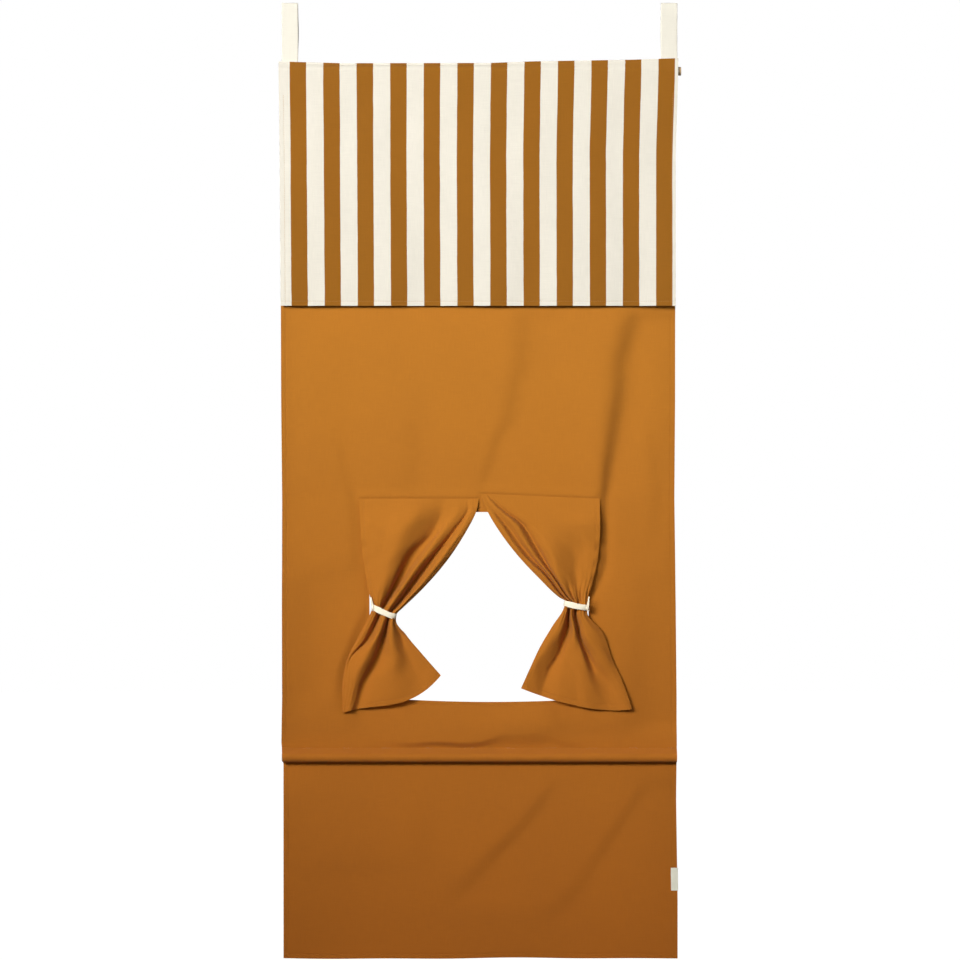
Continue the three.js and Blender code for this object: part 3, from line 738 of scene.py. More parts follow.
def layers(middle, before, back):
    """The outer grids of a cloth, from a grid within it and the cloth's share on either side."""
    normal = unit(np.cross(np.gradient(middle, axis=0), np.gradient(middle, axis=1)))
    before, back = (np.broadcast_to(share, middle.shape[:2])[..., None] for share in (before, back))
    return middle + normal * before, middle - normal * back


def sheet_about(name, middle, thickness, flat, finish):
    """A closed sheet about its middle surface."""
    return sewn_sheet(name, *layers(middle, thickness / 2, thickness / 2), flat, finish)


def top_edge_wave(x):
    """How far the upper edge stands above its straight line. It sinks left of the middle."""
    places = (-0.365, -0.33, -0.25, 0.02, 0.10, 0.28, 0.365)
    return np.interp(x, places, (0, -0.0012, -0.0034, -0.0030, 0, 0.0030, 0.0058))


front_half = over_top_rod(POCKET_RADIUS, -POCKET_PINCH, -POCKET_FLANGE_Y, 0.012)
fold = arc_about((0, TOP - CLOTH / 2 - POCKET_PINCH), POCKET_PINCH, 90, -90, 7)
columns = [-HALF_WIDTH, -0.3635] + between(-0.360, 0.3601, 0.006) + [0.3601, 0.3635, HALF_WIDTH]
x, y, z, far = swept(columns, np.concatenate([front_half, fold, behind(front_half)]))
slack = np.exp(-(((z - TOP_ROD[1]) / 0.007) ** 2)) * 0.0005
swell = slack * (np.sin(x / 0.033) * np.cos(x / 0.012 + z / 0.004) - 1) * 0.5
z = z + top_edge_wave(x) * past(-0.116, TOP - 0.001, z)
middle = np.stack([x, y * (1 + swell / POCKET_RADIUS), z], -1)
flat = np.stack([x, far], -1)
top_pocket = sheet_about("top_rod_pocket_cloth", middle, CLOTH, flat, ochre_canvas)
rides(top_pocket, "hanging_cloth", "top_rod_pocket")

between_loops = np.linspace(-0.330, 0.330, 300)
flange_back = np.full(300, POCKET_FLANGE_Y + CLOTH / 2 + THREAD_PROUD)
pocket_runs = []
for below in (0.004, 0.009):
    row = np.full(300, TOP_ROD[1] - PINCH_BELOW - below)
    pocket_runs.append((np.stack([between_loops, flange_back, row], 1), (0, 1, 0)))
pocket_stitches = stitches("top_rod_pocket_stitches", pocket_runs, ochre_thread)
rides(pocket_stitches, "hanging_cloth")


# The top rod. A turned beech dowel keeps the theatre's upper edge straight. It lies loose in its
# tunnel and is drawn out sideways for washing, and its right end stands a little out of the cloth.
def turned_rod(name, start, end, axis, finish):
    """A round rod along X with a saw-cut face and a rubbed-down rim at each end."""
    rim = [(0, 0.45), (0, 0.82), (0.00015, 0.92), (0.0006, 0.98), (0.0014, 1.0)]
    length = end - start
    profile = rim + [(a, 1.0) for a in np.linspace(0.02, length - 0.02, 40)]
    profile += [(length - a, r) for a, r in rim[::-1]]
    around, rings = 56, len(profile)
    points = []
    for a, r in profile:
        for t in np.linspace(0, 2 * math.pi, around, endpoint=False):
            y, z = axis[0] + r * ROD_RADIUS * math.sin(t), axis[1] + r * ROD_RADIUS * math.cos(t)
            points.append((start + a, y, z))
    faces = tube_faces(rings, around)
    last, centre = (rings - 1) * around, rings * around
    faces += [[centre, (k + 1) % around, k] for k in range(around)]
    faces += [[last + k, last + (k + 1) % around, centre + 1] for k in range(around)]
    points = np.array(points + [(start, *axis), (end, *axis)])
    return new_piece(name, points, faces, points[:, :2].copy(), finish)


def beech(name):
    """Beech: fine long grain with short dark flecks along it, and growth rings on the sawn ends."""
    finish, shader, wire = new_finish(name, {})
    grain = wire.place().stretched(6, 260, 260).noise(1.0, 6.0)
    pores = wire.place().stretched(120, 1500, 1500).noise(1.0)
    fleck = pores.rise(0.62, 0.72)
    turned = {"wave_type": "RINGS", "rings_direction": "X"}
    ring_inputs = {"Vector": wire.place(), "Scale": 130.0, "Distortion": 1.5, "Detail": 2.0}
    rings = wire.node("TexWave", turned, ring_inputs, 1)
    ground = mixed(0.6 * grain + 0.4 * rings, seen(199, 172, 133), seen(172, 138, 96))
    mixed(fleck * 0.5, ground, seen(131, 94, 57)).into(shader, "Base Color")
    (0.46 + 0.14 * grain).into(shader, "Roughness")
    bumped(shader, grain - 0.6 * fleck, 0.2, 0.0002)
    return finish


beech_wood = beech("beech_wood")
top_dowel = turned_rod("top_beech_dowel", -0.364, 0.371, TOP_ROD, beech_wood)
rides(top_dowel, "top_rod", "top_dowel")

# The hanging loops. Each is one length of cream cotton webbing, folded double. Its two ends
# straddle the top edge in front and behind and are sewn through all layers, in a box with a cross.
WEBBING_WIDTH = 0.030
WEBBING = 0.0015
LOOP_MIDDLE = 0.349
LOOP_HALF_OPENING = 0.0062
LOOP_CORNER = 0.0032
LAYER_SHIFT = 0.00145
SEWN_LENGTH = 0.052


def webbing(name, colour, pitch):
    """Woven tape: coarse warp cords that lean to and fro in a herringbone."""
    finish, shader, wire = new_finish(name, {"Sheen Weight": 0.1})
    across, down, height, yarn = weave(wire, pitch)
    chevron = (down + wire.maths("PINGPONG", across, 0.0037)).wave(2.2 * pitch)
    soiled = wire.place().noise(45.0, 4.0)
    # Painted shade: through chevron and height, the herringbone's ribs and the weave's raised
    # threads are made a little lighter and the hollows between them a little darker.
    strength = 1.0 + 0.03 * chevron + 0.1 * yarn + 0.08 * (soiled - 0.5) + 0.03 * height
    shaded(colour, strength).into(shader, "Base Color")
    (0.8 + 0.1 * soiled).into(shader, "Roughness")
    bumped(shader, 0.7 * chevron + 0.5 * height + yarn, 0.4, 0.0004)
    return finish


cream_webbing = webbing("cream_webbing", seen(222, 217, 202), 0.0011)
cream_thread = thread("cream_thread", seen(215, 210, 193))
pinch_y = -POCKET_PINCH - LAYER_SHIFT
sewn_half = over_top_rod(
    POCKET_RADIUS + LAYER_SHIFT,
    pinch_y,
    -POCKET_FLANGE_Y - LAYER_SHIFT,
    SEWN_LENGTH - (TOP - TOP_ROD[1]) - PINCH_BELOW,
)
rise_z = np.linspace(TOP, TOP * 0.2, 24)
opening = [-LOOP_HALF_OPENING, pinch_y - 0.0032, pinch_y - 0.0012, pinch_y]
rise_y = np.interp(-rise_z, -TOP * np.array([0.2, 0.47, 0.76, 1.0]), opening)
corner_axis = (LOOP_CORNER - LOOP_HALF_OPENING, WEBBING / 2 - LOOP_CORNER)
corner = arc_about(corner_axis, LOOP_CORNER, 90, 0, 9)
loop_half = np.concatenate([sewn_half, np.stack([rise_y, rise_z], 1)[1:], corner])
loop_path = np.concatenate([loop_half, behind(loop_half)])
edge_marks = np.array([0, 0.0005, 0.0014, 0.0030])
across = np.linspace(0.005, 0.025, 9)
across = np.concatenate([edge_marks, across, WEBBING_WIDTH - edge_marks[::-1]])
BOX_HALF, BOX_LOW, BOX_HIGH = 0.0125, -0.1565, -0.1385
box_corners = [(-1, BOX_LOW), (1, BOX_LOW), (1, BOX_HIGH), (-1, BOX_HIGH)]
box_path = [box_corners[k] for k in (0, 1, 2, 3, 0, 2, 3, 1)]
flange_y = POCKET_FLANGE_Y + LAYER_SHIFT + WEBBING / 2 + THREAD_PROUD
for name, middle_x, lean in (("left", -LOOP_MIDDLE, 0.0012), ("right", LOOP_MIDDLE, -0.0008)):
    u, y, z, far = swept(across - WEBBING_WIDTH / 2, loop_path)
    x = middle_x + u + lean * np.sin(past(TOP, 0, z) * math.pi) * np.where(y > 0, 1, 0.3)
    middle = np.stack([x, y, z], -1)
    from_edge = WEBBING_WIDTH / 2 - np.abs(u)
    thickness = WEBBING * np.interp(from_edge, [0, 0.0005, 0.0014], [0.35, 0.85, 1])
    flat = np.stack([u, far], -1)
    loop = sheet_about(f"{name}_webbing_loop", middle, thickness, flat, cream_webbing)
    rides(loop, "hanging_cloth", f"{name}_hanging_loop")
    runs = []
    for side in (-1, 1):
        at = [(middle_x + BOX_HALF * corner_x, side * flange_y, z) for corner_x, z in box_path]
        runs += [(np.array(ends), (0, side, 0)) for ends in zip(at, at[1:])]
    box = stitches(f"{name}_webbing_box_stitches", runs, cream_thread, thickness=0.0005)
    rides(box, "hanging_cloth")

# The valance. Striped cotton canvas, hemmed at both sides and along the bottom, is sewn to the top
# edge only. It falls over the rod and the loops' front ends, and hangs clear of the main panel.
VALANCE_DROP = 0.450
VALANCE_BOTTOM = TOP - VALANCE_DROP
VALANCE_RADIUS = POCKET_RADIUS + 2 * LAYER_SHIFT
VALANCE_HINGE_Y = -POCKET_PINCH - 2 * LAYER_SHIFT
VALANCE_LIP = 0.003
STRIPE_PITCH = 0.06124
STRIPE_WIDTH = 0.0300
FIRST_STRIPE = -0.3298
STITCH_END = 0.3635


def striped(wire, across, down):
    """Twelve brown stripes on cream, woven in, with edges that wander by a thread."""
    wander = wire.node("CombineXYZ", None, {0: across * 3.0, 1: down}).noise(14.0, 3.0)
    phase = (across - FIRST_STRIPE + 0.0016 * (wander - 0.5)) * (1 / STRIPE_PITCH)
    off_centre = wire.maths("ABSOLUTE", phase - wire.maths("ROUND", phase))
    half = STRIPE_WIDTH / STRIPE_PITCH / 2
    brown = off_centre.rise(half + 0.005, half - 0.005)
    return mixed(brown, seen(214, 208, 194), seen(140, 88, 21))


striped_canvas = canvas("striped_canvas", striped, fade=0.03)


def valance_depth(x, z):
    """The depth of the valance's middle surface: over the rod, then down in shallow waves."""
    pinch_z = TOP_ROD[1] + PINCH_ABOVE + top_edge_wave(x)
    touch = np.radians(touch_angle(TOP_ROD, VALANCE_RADIUS, VALANCE_HINGE_Y, pinch_z))
    touch_y = -VALANCE_RADIUS * np.sin(touch)
    touch_z = TOP_ROD[1] + VALANCE_RADIUS * np.cos(touch)
    over_rod = -np.sqrt(np.maximum(VALANCE_RADIUS**2 - (z - TOP_ROD[1]) ** 2, 0))
    sloped = VALANCE_HINGE_Y + (touch_y - VALANCE_HINGE_Y) * (pinch_z - z) / (pinch_z - touch_z)
    waves = 0.0016 * np.sin(x / 0.062) + 0.0012 * np.sin(x / 0.029 + 1)
    fine = 0.0005 * np.sin(x / 0.016 + 2 * np.sin(z / 0.06)) * past(0.02, 0.12, TOP - z)
    hanging = -VALANCE_RADIUS - past(0, VALANCE_DROP, TOP - z) * waves - fine
    y = np.where(z >= TOP_ROD[1], over_rod, hanging)
    y = np.where(z >= touch_z, sloped, y)
    return np.where(z >= pinch_z, VALANCE_HINGE_Y, y)


def on_valance(x, z, before):
    """Points of the valance, so far before its middle surface."""
    settled = z + top_edge_wave(x) * past(-0.30, TOP, z)
    return np.stack([x + sway(x, z), valance_depth(x, settled) - before, settled], -1)


def flap_hems(x, z, bottom):
    """The stitches' dent and the thickness of a flap hemmed at its sides and its lower edge."""
    from_side, from_bottom = HALF_WIDTH - np.abs(x), z - bottom
    in_side_hem, in_bottom_hem = z < SIDE_HEM_TOP + NEAR, from_bottom <= HEM_WIDTH + NEAR
    dent = seam_dent(from_side - STITCH_IN) * in_side_hem + seam_dent(from_bottom - STITCH_IN)
    thickness = np.maximum(fold_thickness(from_side), np.where(in_bottom_hem, HEM, CLOTH))
    return dent, np.where(np.minimum(from_bottom, from_side) < 0.0003, 0.45 * HEM, thickness)


def flap_stitches(name, on_flap, start, bottom, count, finish):
    """The rows of stitches of a flap's hems, in front and behind."""
    down = np.linspace(start, bottom + 0.001, count)
    across = np.linspace(-STITCH_END, STITCH_END, 300)
    runs = []
    for outside, before in ((-1, CLOTH / 2 - THREAD_SUNK), (1, THREAD_SUNK + CLOTH / 2 - HEM)):
        for x, z in ((-hem_x, down), (hem_x, down), (across, bottom + STITCH_IN)):
            runs.append((on_flap(x, z, before), (0, outside, 0)))
    return stitches(name, runs, finish)


def bends(pieces):
    """Bake each piece's place into its own points, so that it stands at the world's origin."""
    for piece in pieces:
        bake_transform(piece)


lip_end = LOOP_MIDDLE - WEBBING_WIDTH / 2 - 0.001
left_columns = left_hem + [-0.348, -0.341, -lip_end, -lip_end + 0.0006]
right_columns = [-column for column in left_columns[::-1]]
columns = np.array(left_columns + between(-0.328, 0.328, GRID) + [0.328] + right_columns)
bottom_marks = [0.0115] + hem_marks(0, 1)[::-1]
rows = np.array(
    [TOP - mark for mark in (0, 0.0015, VALANCE_LIP, 0.0036, 0.005, 0.007, 0.009, 0.011)]
    + between(TOP - 0.0125, SIDE_HEM_TOP + 0.0006, 0.0025)
    + [SIDE_HEM_TOP + 0.0006, SIDE_HEM_TOP]
    + between(-0.168, VALANCE_BOTTOM + 0.0115, GRID)
    + [VALANCE_BOTTOM + mark for mark in bottom_marks]
)
x, z = np.meshgrid(columns, rows)
dent, thickness = flap_hems(x, z, VALANCE_BOTTOM)
is_lip = (z >= TOP - VALANCE_LIP - NEAR) & (np.abs(x) < lip_end - NEAR)
thickness = np.where(is_lip, CLOTH + WEBBING, np.where(z > SIDE_HEM_TOP + 1e-4, CLOTH, thickness))
valance = sewn_sheet(
    "striped_valance",
    on_valance(x, z, CLOTH / 2 - dent),
    on_valance(x, z, CLOTH / 2 - thickness),
    np.stack([x, z], -1),
    striped_canvas,
)
tan_thread = thread("tan_thread", seen(181, 140, 85))
valance_stitches = flap_stitches(
    "valance_stitches", on_valance, -0.168, VALANCE_BOTTOM, 160, tan_thread
)
bends((valance, valance_stitches))
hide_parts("valance")

# The curtains. Each is a rectangle of the ochre canvas, about 222 by 403 mm, hemmed at its sides
# and its lower edge and sewn flat to the main panel along its upper edge only. A tie gathers it
# into a narrow neck at the window's side, and below the neck it fans out into a tail.
SEAM = -0.9100
CURTAIN_FLAT = (0.222, 0.403)
CURTAIN_STITCHES = 0.008
NECK_OUT = 0.0129
BAND_OUT = 0.0100


def cubic(t, first, last, first_slope, last_slope):
    """A curve from the first value to the last, with a slope at either end."""
    return (
        (1 + 2 * t) * (1 - t) ** 2 * first
        + t * (1 - t) ** 2 * first_slope
        + t * t * (3 - 2 * t) * last
        + t * t * (t - 1) * last_slope
    )


def smooth_through(places, values, at):
    """Values at places along the first axis, joined by curves that don't overshoot them."""
    step = np.diff(places)[:, None]
    rise = np.diff(values, axis=0) / step
    before, after = rise[:-1], rise[1:]
    total = np.where(before + after == 0, 1, before + after)
    turn = np.where(before * after > 0, 2 * before * after / total, 0)
    slope = np.concatenate([rise[:1], turn, rise[-1:]])
    k = np.clip(np.searchsorted(places, at, "right") - 1, 0, len(places) - 2)
    t = ((at - places[k]) / (places[k + 1] - places[k]))[:, None]
    return cubic(t, values[k], values[k + 1], step[k] * slope[k], step[k] * slope[k + 1])


def rounded_through(points, at):
    """Curves through rows of points in a plane. They round every bend, also an overhanging one."""
    chord = np.diff(points, axis=1)
    way, length = unit(chord), np.linalg.norm(chord, axis=2, keepdims=True)
    bend = unit(way[:, :-1] + way[:, 1:]) * np.minimum(length[:, :-1], length[:, 1:])
    slope = np.concatenate([chord[:, :1], bend, chord[:, -1:]], axis=1)
    k = np.clip(at.astype(int), 0, points.shape[1] - 2)
    return cubic((at - k)[:, None], points[:, k], points[:, k + 1], slope[:, k], slope[:, k + 1])


# All in millimetres. A drop is a distance down the cloth from the seam. Each line of edges holds,
# for one drop, X and the height below the seam of the outer edge and of the inner one, and how far
# the cloth bows down between them. Each pair of lines of folds holds, from the outer edge to the
# inner one, at what share of the way across each fold line lies there, and how far it stands out.
HEM_STITCHES = 8.8
DROPS = np.array([0, 20, 52, 105, 158, 196, 203, 215, 262, 309, 356, 403.0])
LEFT_EDGES = table("""
    -221.5 .4 -.8 .4 0
    -220.6 20.2 -4.9 20.5 0
    -218.8 50.8 -23.9 59.2 0
    -214.7 100.6 -58.7 112.6 0
    -207 150 -99.5 160.3 0
    -198.7 186.8 -142.6 202.4 0
    -194.6 194.9 -152.6 211.9 0
    -199 208.5 -154.5 223.2 0
    -223.2 256.1 -135.6 251 2
    -243.8 298.6 -114.1 275.6 6
    -251.9 345.3 -93.1 299.7 14
    -251.2 394 -70.8 324.8 22.4
""")
LEFT_FOLDS = table("""
    0 .08 .25 .46 .57 .67 .73 .81 .88 .90 .92 .95 .975 1
    1.1 1.1 1.1 1.1 1.1 1.0 1.1 1.3 1.1 1.1 1.3 1.2 1.1 1.1
    0 .08 .25 .49 .60 .70 .76 .84 .90 .925 .94 .96 .98 1
    4 5 7 11 6 0.8 3 6.5 5 3.5 5.5 7 7 6.5
    0 .07 .22 .42 .575 .695 .74 .785 .85 .893 .92 .948 .975 1
    8 10.5 14.5 21 10 -1.5 2 10 7.5 1.5 8 12 11 8
    0 .07 .20 .36 .475 .555 .63 .712 .77 .815 .86 .92 .965 1
    10 13 18 23.5 16 -2 0 18 13 -1 7 17.5 13.5 9
    0 .07 .17 .295 .42 .485 .56 .65 .71 .775 .84 .91 .96 1
    12 15 20 24 18.5 -3 0 22 17 -2 8 20 17 12
    0 .07 .16 .27 .37 .455 .52 .60 .71 .785 .845 .915 .96 1
    13 17 20.5 21.8 14 -1 13 21.8 17 0 11 20 17 13
    0 .07 .16 .26 .33 .40 .48 .57 .68 .75 .82 .90 .95 1
    13 18 20.5 19 11 4 16 21.8 17 5 12 20 15 13
    0 .08 .16 .24 .29 .34 .44 .55 .65 .71 .78 .88 .95 1
    13 18 19.5 15 6 3 15 21.8 16 4 12 20 15 13
    0 .06 .13 .17 .20 .23 .30 .385 .46 .52 .585 .70 .91 1
    10 15 15 10 5 4.5 14 24 17 -2 5 21 5 11
    0 .01 .02 .03 .04 .05 .12 .25 .345 .425 .52 .68 .85 1
    7 9 9.5 9 8.5 9 15 24.5 18 0 7 20 6 13
    0 .02 .04 .06 .08 .10 .12 .145 .195 .25 .36 .60 .85 1
    8 11 13 14.5 15.5 16.3 17 17.5 13.5 1.5 9 18 7.5 14
    0 .01 .02 .03 .04 .05 .06 .075 .095 .145 .26 .60 .86 1
    6 8 9 10 11 12 12.5 13 11 4.5 10 16 12 14
""")
RIGHT_EDGES = table("""
    221.5 .4 2.4 -8.6 0
    221.4 21.2 11.6 17 0
    221.7 49.7 32.8 54.3 0
    219 98.4 69.4 103.2 0
    209.9 146.6 111.1 147.9 0
    200.6 184 146.8 181.8 0
    199.8 196.1 157.5 188.1 0
    197.6 207.9 155.3 199.9 0
    228.3 249.7 133.6 235.2 .7
    243.6 295.3 111.9 271.8 2.8
    263.1 337.1 93.7 309.9 7
    280.6 386.4 76.4 348.7 13.6
""")
RIGHT_FOLDS = table("""
    0 .08 .16 .24 .34 .46 .60 .76 .93 .95 .965 .98 .99 1
    1.1 1.1 1.1 1.1 1.1 1.1 1.1 1.1 1.1 1.0 1.1 1.2 1.3 1.1
    0 .08 .16 .24 .34 .46 .60 .74 .83 .865 .90 .94 .97 1
    5 5 5 5 5 5 5 5 4 1.5 7 5.5 6.5 6.5
    0 .07 .15 .22 .30 .42 .55 .64 .695 .735 .80 .895 .945 1
    11 12 12.5 12 11.5 11.5 11 10 6 1 14 4 12 9
    0 .05 .12 .20 .30 .40 .50 .58 .665 .715 .80 .865 .945 1
    9 10.5 10 7.5 7.5 12.5 18 19.5 11 1 13 3 14 10
    0 .06 .13 .22 .33 .42 .53 .63 .685 .71 .755 .81 .875 1
    9 11 11.5 10.5 7.5 11.5 17 20.5 15 6 17 6 19 15
    0 .09 .19 .28 .38 .46 .53 .60 .66 .70 .75 .81 .89 1
    8 12 14 10 13 17 13 20 16 8 18 8 18 14
    0 .10 .22 .32 .41 .48 .55 .61 .66 .70 .75 .80 .89 1
    11 16 18 12 9 17 20 19 14 10 19 8 19 14
    0 .14 .28 .42 .50 .58 .66 .69 .72 .76 .80 .85 .91 1
    12 17 18 12 6 16 21 17 11 4 11 17 19 14
    0 .15 .34 .44 .49 .535 .58 .62 .655 .70 .755 .81 .89 1
    9 17 20 11 3 17 23 14 4 -3 8 17 19 13
    0 .07 .16 .26 .33 .41 .50 .62 .66 .71 .77 .85 .93 1
    9 15 17 10 1 17 16.5 12 8 0 7 14 17 13
    0 .05 .11 .19 .27 .36 .44 .505 .68 .795 .85 .905 .96 1
    9 11 9.5 5 7 15.5 17 14.5 11.5 2.5 7 11.5 14.5 14
    0 .02 .05 .12 .20 .30 .40 .50 .66 .82 .86 .90 .95 1
    9 11 12 10.5 9 12 15 13 14.5 8 9.5 11 12 11
""")


def gathered_cloth(edges, skew, fold_lines):
    """The middle surface of a tied-back curtain, and the drop of each of its rows.

    Skew moves the hem's lowest point off the middle.
    """
    low = DROPS[-1]
    near_hem = [11.5, 10.4, 9.6, HEM_STITCHES, 8, 7, 5, 2.5, 0.6, 0]
    at = np.array([0, 0.5, 1.2] + between(2, low - 12, 3) + [low - mark for mark in near_hem])
    last = fold_lines.shape[1] - 1
    near_edge = np.array([0, 0.03, 0.1])
    t = np.concatenate([near_edge, np.linspace(0.2, last - 0.2, 8 * last), last - near_edge[::-1]])
    x0, down0, x1, down1, bow = smooth_through(DROPS, edges, at).T[..., None]
    shares, outs = (smooth_through(DROPS, fold_lines[first::2], at) for first in (0, 1))
    knots = np.stack([shares * np.abs(x1 - x0), outs], -1)
    across, out = np.moveaxis(rounded_through(knots, t), 2, 0)
    share, drop = across / np.abs(x1 - x0), at[:, None]
    # Small gathers at the neck, pucker down the outer edge, and a faint crumple all over.
    gathers = np.exp(-(((drop - 209) / 40) ** 2)) * np.sin(t * 6.3 + 0.5 * np.sin(drop / 17))
    above_neck = past(45, 100, drop) * (1 - past(180, 196, drop))
    pucker = np.exp(-((share / 0.05) ** 2)) * above_neck * np.sin(drop / 5.5)
    crumple = np.sin(t * 1.9 + drop / 21) * np.sin(drop / 13 + t) * past(10, 90, drop)
    out = out + 0.8 * gathers + 1.3 * pucker + 0.45 * crumple
    # Under the tie the cloth keeps to the room that the closed band leaves it.
    inside = np.clip(share, 0, 1)
    room = 1000 * BAND_OUT * (1 - np.abs(1.86 * inside - 0.93) ** 2.667) ** 0.375 - 1.1
    under_tie = 1 - past(7, 15, np.abs(drop - 208.5))
    neck = 1000 * NECK_OUT
    out += (np.clip(out, neck - room, neck + room) - out) * under_tie
    skewed = inside**skew
    x = (x0 + (x1 - x0) * share) / 1000
    z = SEAM - (down0 + (down1 - down0) * share + bow * 4 * skewed * (1 - skewed)) / 1000
    sewn_on = soft_folds(x, z, MAIN_FOLDS) * (1 - past(0, 70, drop))
    return np.stack([x, -sewn_on - out / 1000, z], -1), at


def gathered_curtain(side, edges, skew, fold_lines):
    """A tied-back curtain with its hems, and its stitches."""
    name = "left" if side < 0 else "right"
    middle, at = gathered_cloth(edges, skew, fold_lines)
    wide = np.cumsum(np.linalg.norm(np.diff(middle, axis=1, prepend=middle[:, :1]), axis=2), axis=1)
    wide = wide / wide[:, -1:] * CURTAIN_FLAT[0]
    long = np.cumsum(np.linalg.norm(np.diff(middle, axis=0, prepend=middle[:1]), axis=2), axis=0)
    flat = np.stack([side * wide, -long], -1)
    side_line = np.minimum(wide, CURTAIN_FLAT[0] - wide) - CURTAIN_STITCHES
    hem_line = (at[-1] - at[:, None] - HEM_STITCHES) / 1000
    dent = seam_dent(side_line) + seam_dent(hem_line)
    in_hem = (side_line < 0.001) | (hem_line < 0.0009)
    at_edge = np.minimum(side_line + CURTAIN_STITCHES, hem_line + HEM_STITCHES / 1000) < 0.0004
    in_hem &= at[:, None] > 3
    share_back = np.where(in_hem, np.where(at_edge, 0.0005, 2.2 * CLOTH), CLOTH / 2)
    if side > 0:
        turned = (v[:, ::-1] for v in (middle, flat, share_back, dent, wide))
        middle, flat, share_back, dent, wide = turned
    front, back = layers(middle, CLOTH / 2 - dent, share_back)
    curtain = sewn_sheet(f"{name}_curtain_cloth", front, back, flat, ochre_canvas)
    outward = front - back
    hem_row = np.argmin(np.abs(at[-1] - at - HEM_STITCHES))
    runs = [(front[hem_row], outward[hem_row])]
    above, below = at < 192, at > 222
    inner = CURTAIN_FLAT[0] - CURTAIN_STITCHES
    for line, part in ((CURTAIN_STITCHES, above), (inner, above), (inner, below)):
        rows = np.flatnonzero(part)[1:]
        column = np.argmin(np.abs(wide[rows] - line), axis=1)
        evened = np.convolve(np.pad(column, 4, "edge"), np.ones(9) / 9, "valid")
        column = np.round(evened).astype(int)
        runs.append((front[rows, column], outward[rows, column]))
    seams = stitches(f"{name}_curtain_stitches", runs, ochre_thread)
    bends((curtain, seams))
    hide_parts(f"{name}_curtain")


gathered_curtain(-1, LEFT_EDGES, 1.7, LEFT_FOLDS)
gathered_curtain(1, RIGHT_EDGES, 0.85, RIGHT_FOLDS)

# The ties. Each is a length of cream cotton tape, wound once round its curtain and knotted at the
# curtain's outer side, with two short ends left standing up and down.
TAPE_WIDTH = 0.0105
TAPE = 0.0008
cream_tape = webbing("cream_tape", seen(250, 239, 213), 0.0008)
forward = np.array([0, -1, 0])


def tape_ribbon(name, middles, widths, outs, width):
    """A tape along a path, as a closed mesh. Widths and outs say which way it is wide and faces."""
    across = np.array([-0.5, -0.46, -0.3, -0.1, 0.1, 0.3, 0.46, 0.5])
    width = np.broadcast_to(width, len(middles))[:, None]
    widths, outs = widths[:, None], outs[:, None]
    bulge = 0.0005 * np.cos(across * math.pi)[:, None]
    at = middles[:, None] + widths * (across * width)[..., None] + outs * bulge
    half = outs * TAPE / 2 * np.interp(np.abs(across), [0.44, 0.5], [1, 0.4])[:, None]
    flat = np.stack(np.broadcast_arrays(across * TAPE_WIDTH, along_path(middles)[:, None]), -1)
    return sewn_sheet(name, at + half, at - half, flat, cream_tape)


def rounded(part):
    """A circle's cosine or sine, pressed out towards a box with round corners."""
    return np.sign(part) * np.abs(part) ** 0.75


def curtain_tie(side, middle, slope, half_length, up_tail, down_tail):
    """A tie: its band round the neck, its knot and its two ends, each with its length and lean."""
    name = "left" if side < 0 else "right"
    slope = math.radians(slope)
    along = np.array([math.cos(slope), 0, -math.sin(slope)])
    across = np.array([math.sin(slope), 0, math.cos(slope)])
    angle = np.linspace(0, 2 * math.pi, 97)
    reach = half_length * rounded(np.cos(angle))[:, None]
    depth = BAND_OUT * rounded(np.sin(angle))[:, None]
    ease = (0.0005 * np.sin(2.6 * angle + 1) * (np.sin(angle) > 0))[:, None]
    centre = np.array([middle[0], -NECK_OUT, middle[1]])
    band = centre + along * reach + forward * depth + across * ease
    ahead = np.gradient(band, axis=0)
    ahead[0] = ahead[-1] = band[1] - band[-2]
    facing = np.cross(np.broadcast_to(across, band.shape), unit(ahead))
    facing *= np.sign(np.sum(facing * (band - centre), axis=1))[:, None]
    wide = across + facing * 0.12 * np.sin(3 * angle)[:, None]
    width = TAPE_WIDTH * (1 - 0.06 * np.cos(5 * angle))
    pieces = [tape_ribbon(f"{name}_tie_band", band, wide, facing, width)]
    knot = centre + along * (half_length - 0.0012) * side + forward * 0.006
    turn = np.linspace(0, 2 * math.pi, 41)[:, None]
    for tilt, size in ((0.5, 0.0027), (-0.9, 0.0023)):
        one = along * math.cos(tilt) + across * math.sin(tilt)
        ring = size * (one * np.cos(turn) * 0.75 + forward * np.sin(turn))
        other = np.broadcast_to(np.cross(one, (0, 1, 0)), ring.shape)
        pieces.append(tape_ribbon(f"{name}_tie_wrap", knot + ring, other, unit(ring), 0.0048))
    for length, lean in (up_tail, down_tail):
        lean = math.radians(lean)
        way = np.array([side * math.sin(lean), 0, math.cos(lean)])
        s = np.linspace(0, 1, 14)[:, None]
        path = knot + way * (length * s) + forward * 0.0015 * np.sin(2.5 * s)
        twist = 0.9 - 0.5 * s
        wide = np.cross(way, (0, 1, 0)) * np.cos(twist) - forward * np.sin(twist)
        taper = np.interp(s[:, 0], [0, 0.2, 1], [0.0030, 0.0052, 0.0022])
        pieces.append(tape_ribbon(f"{name}_tie_end", path, wide, np.cross(wide, way), taper))
    for piece in pieces:
        rides(piece, f"{name}_curtain_bundle")
    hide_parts(f"{name}_tie")


curtain_tie(-1, (-0.1752, SEAM - 0.2088), 23, 0.0228, (0.0195, 13), (0.006, 160))
curtain_tie(1, (0.1776, SEAM - 0.1968), 10.8, 0.0224, (0.021, 7), (0.006, 165))

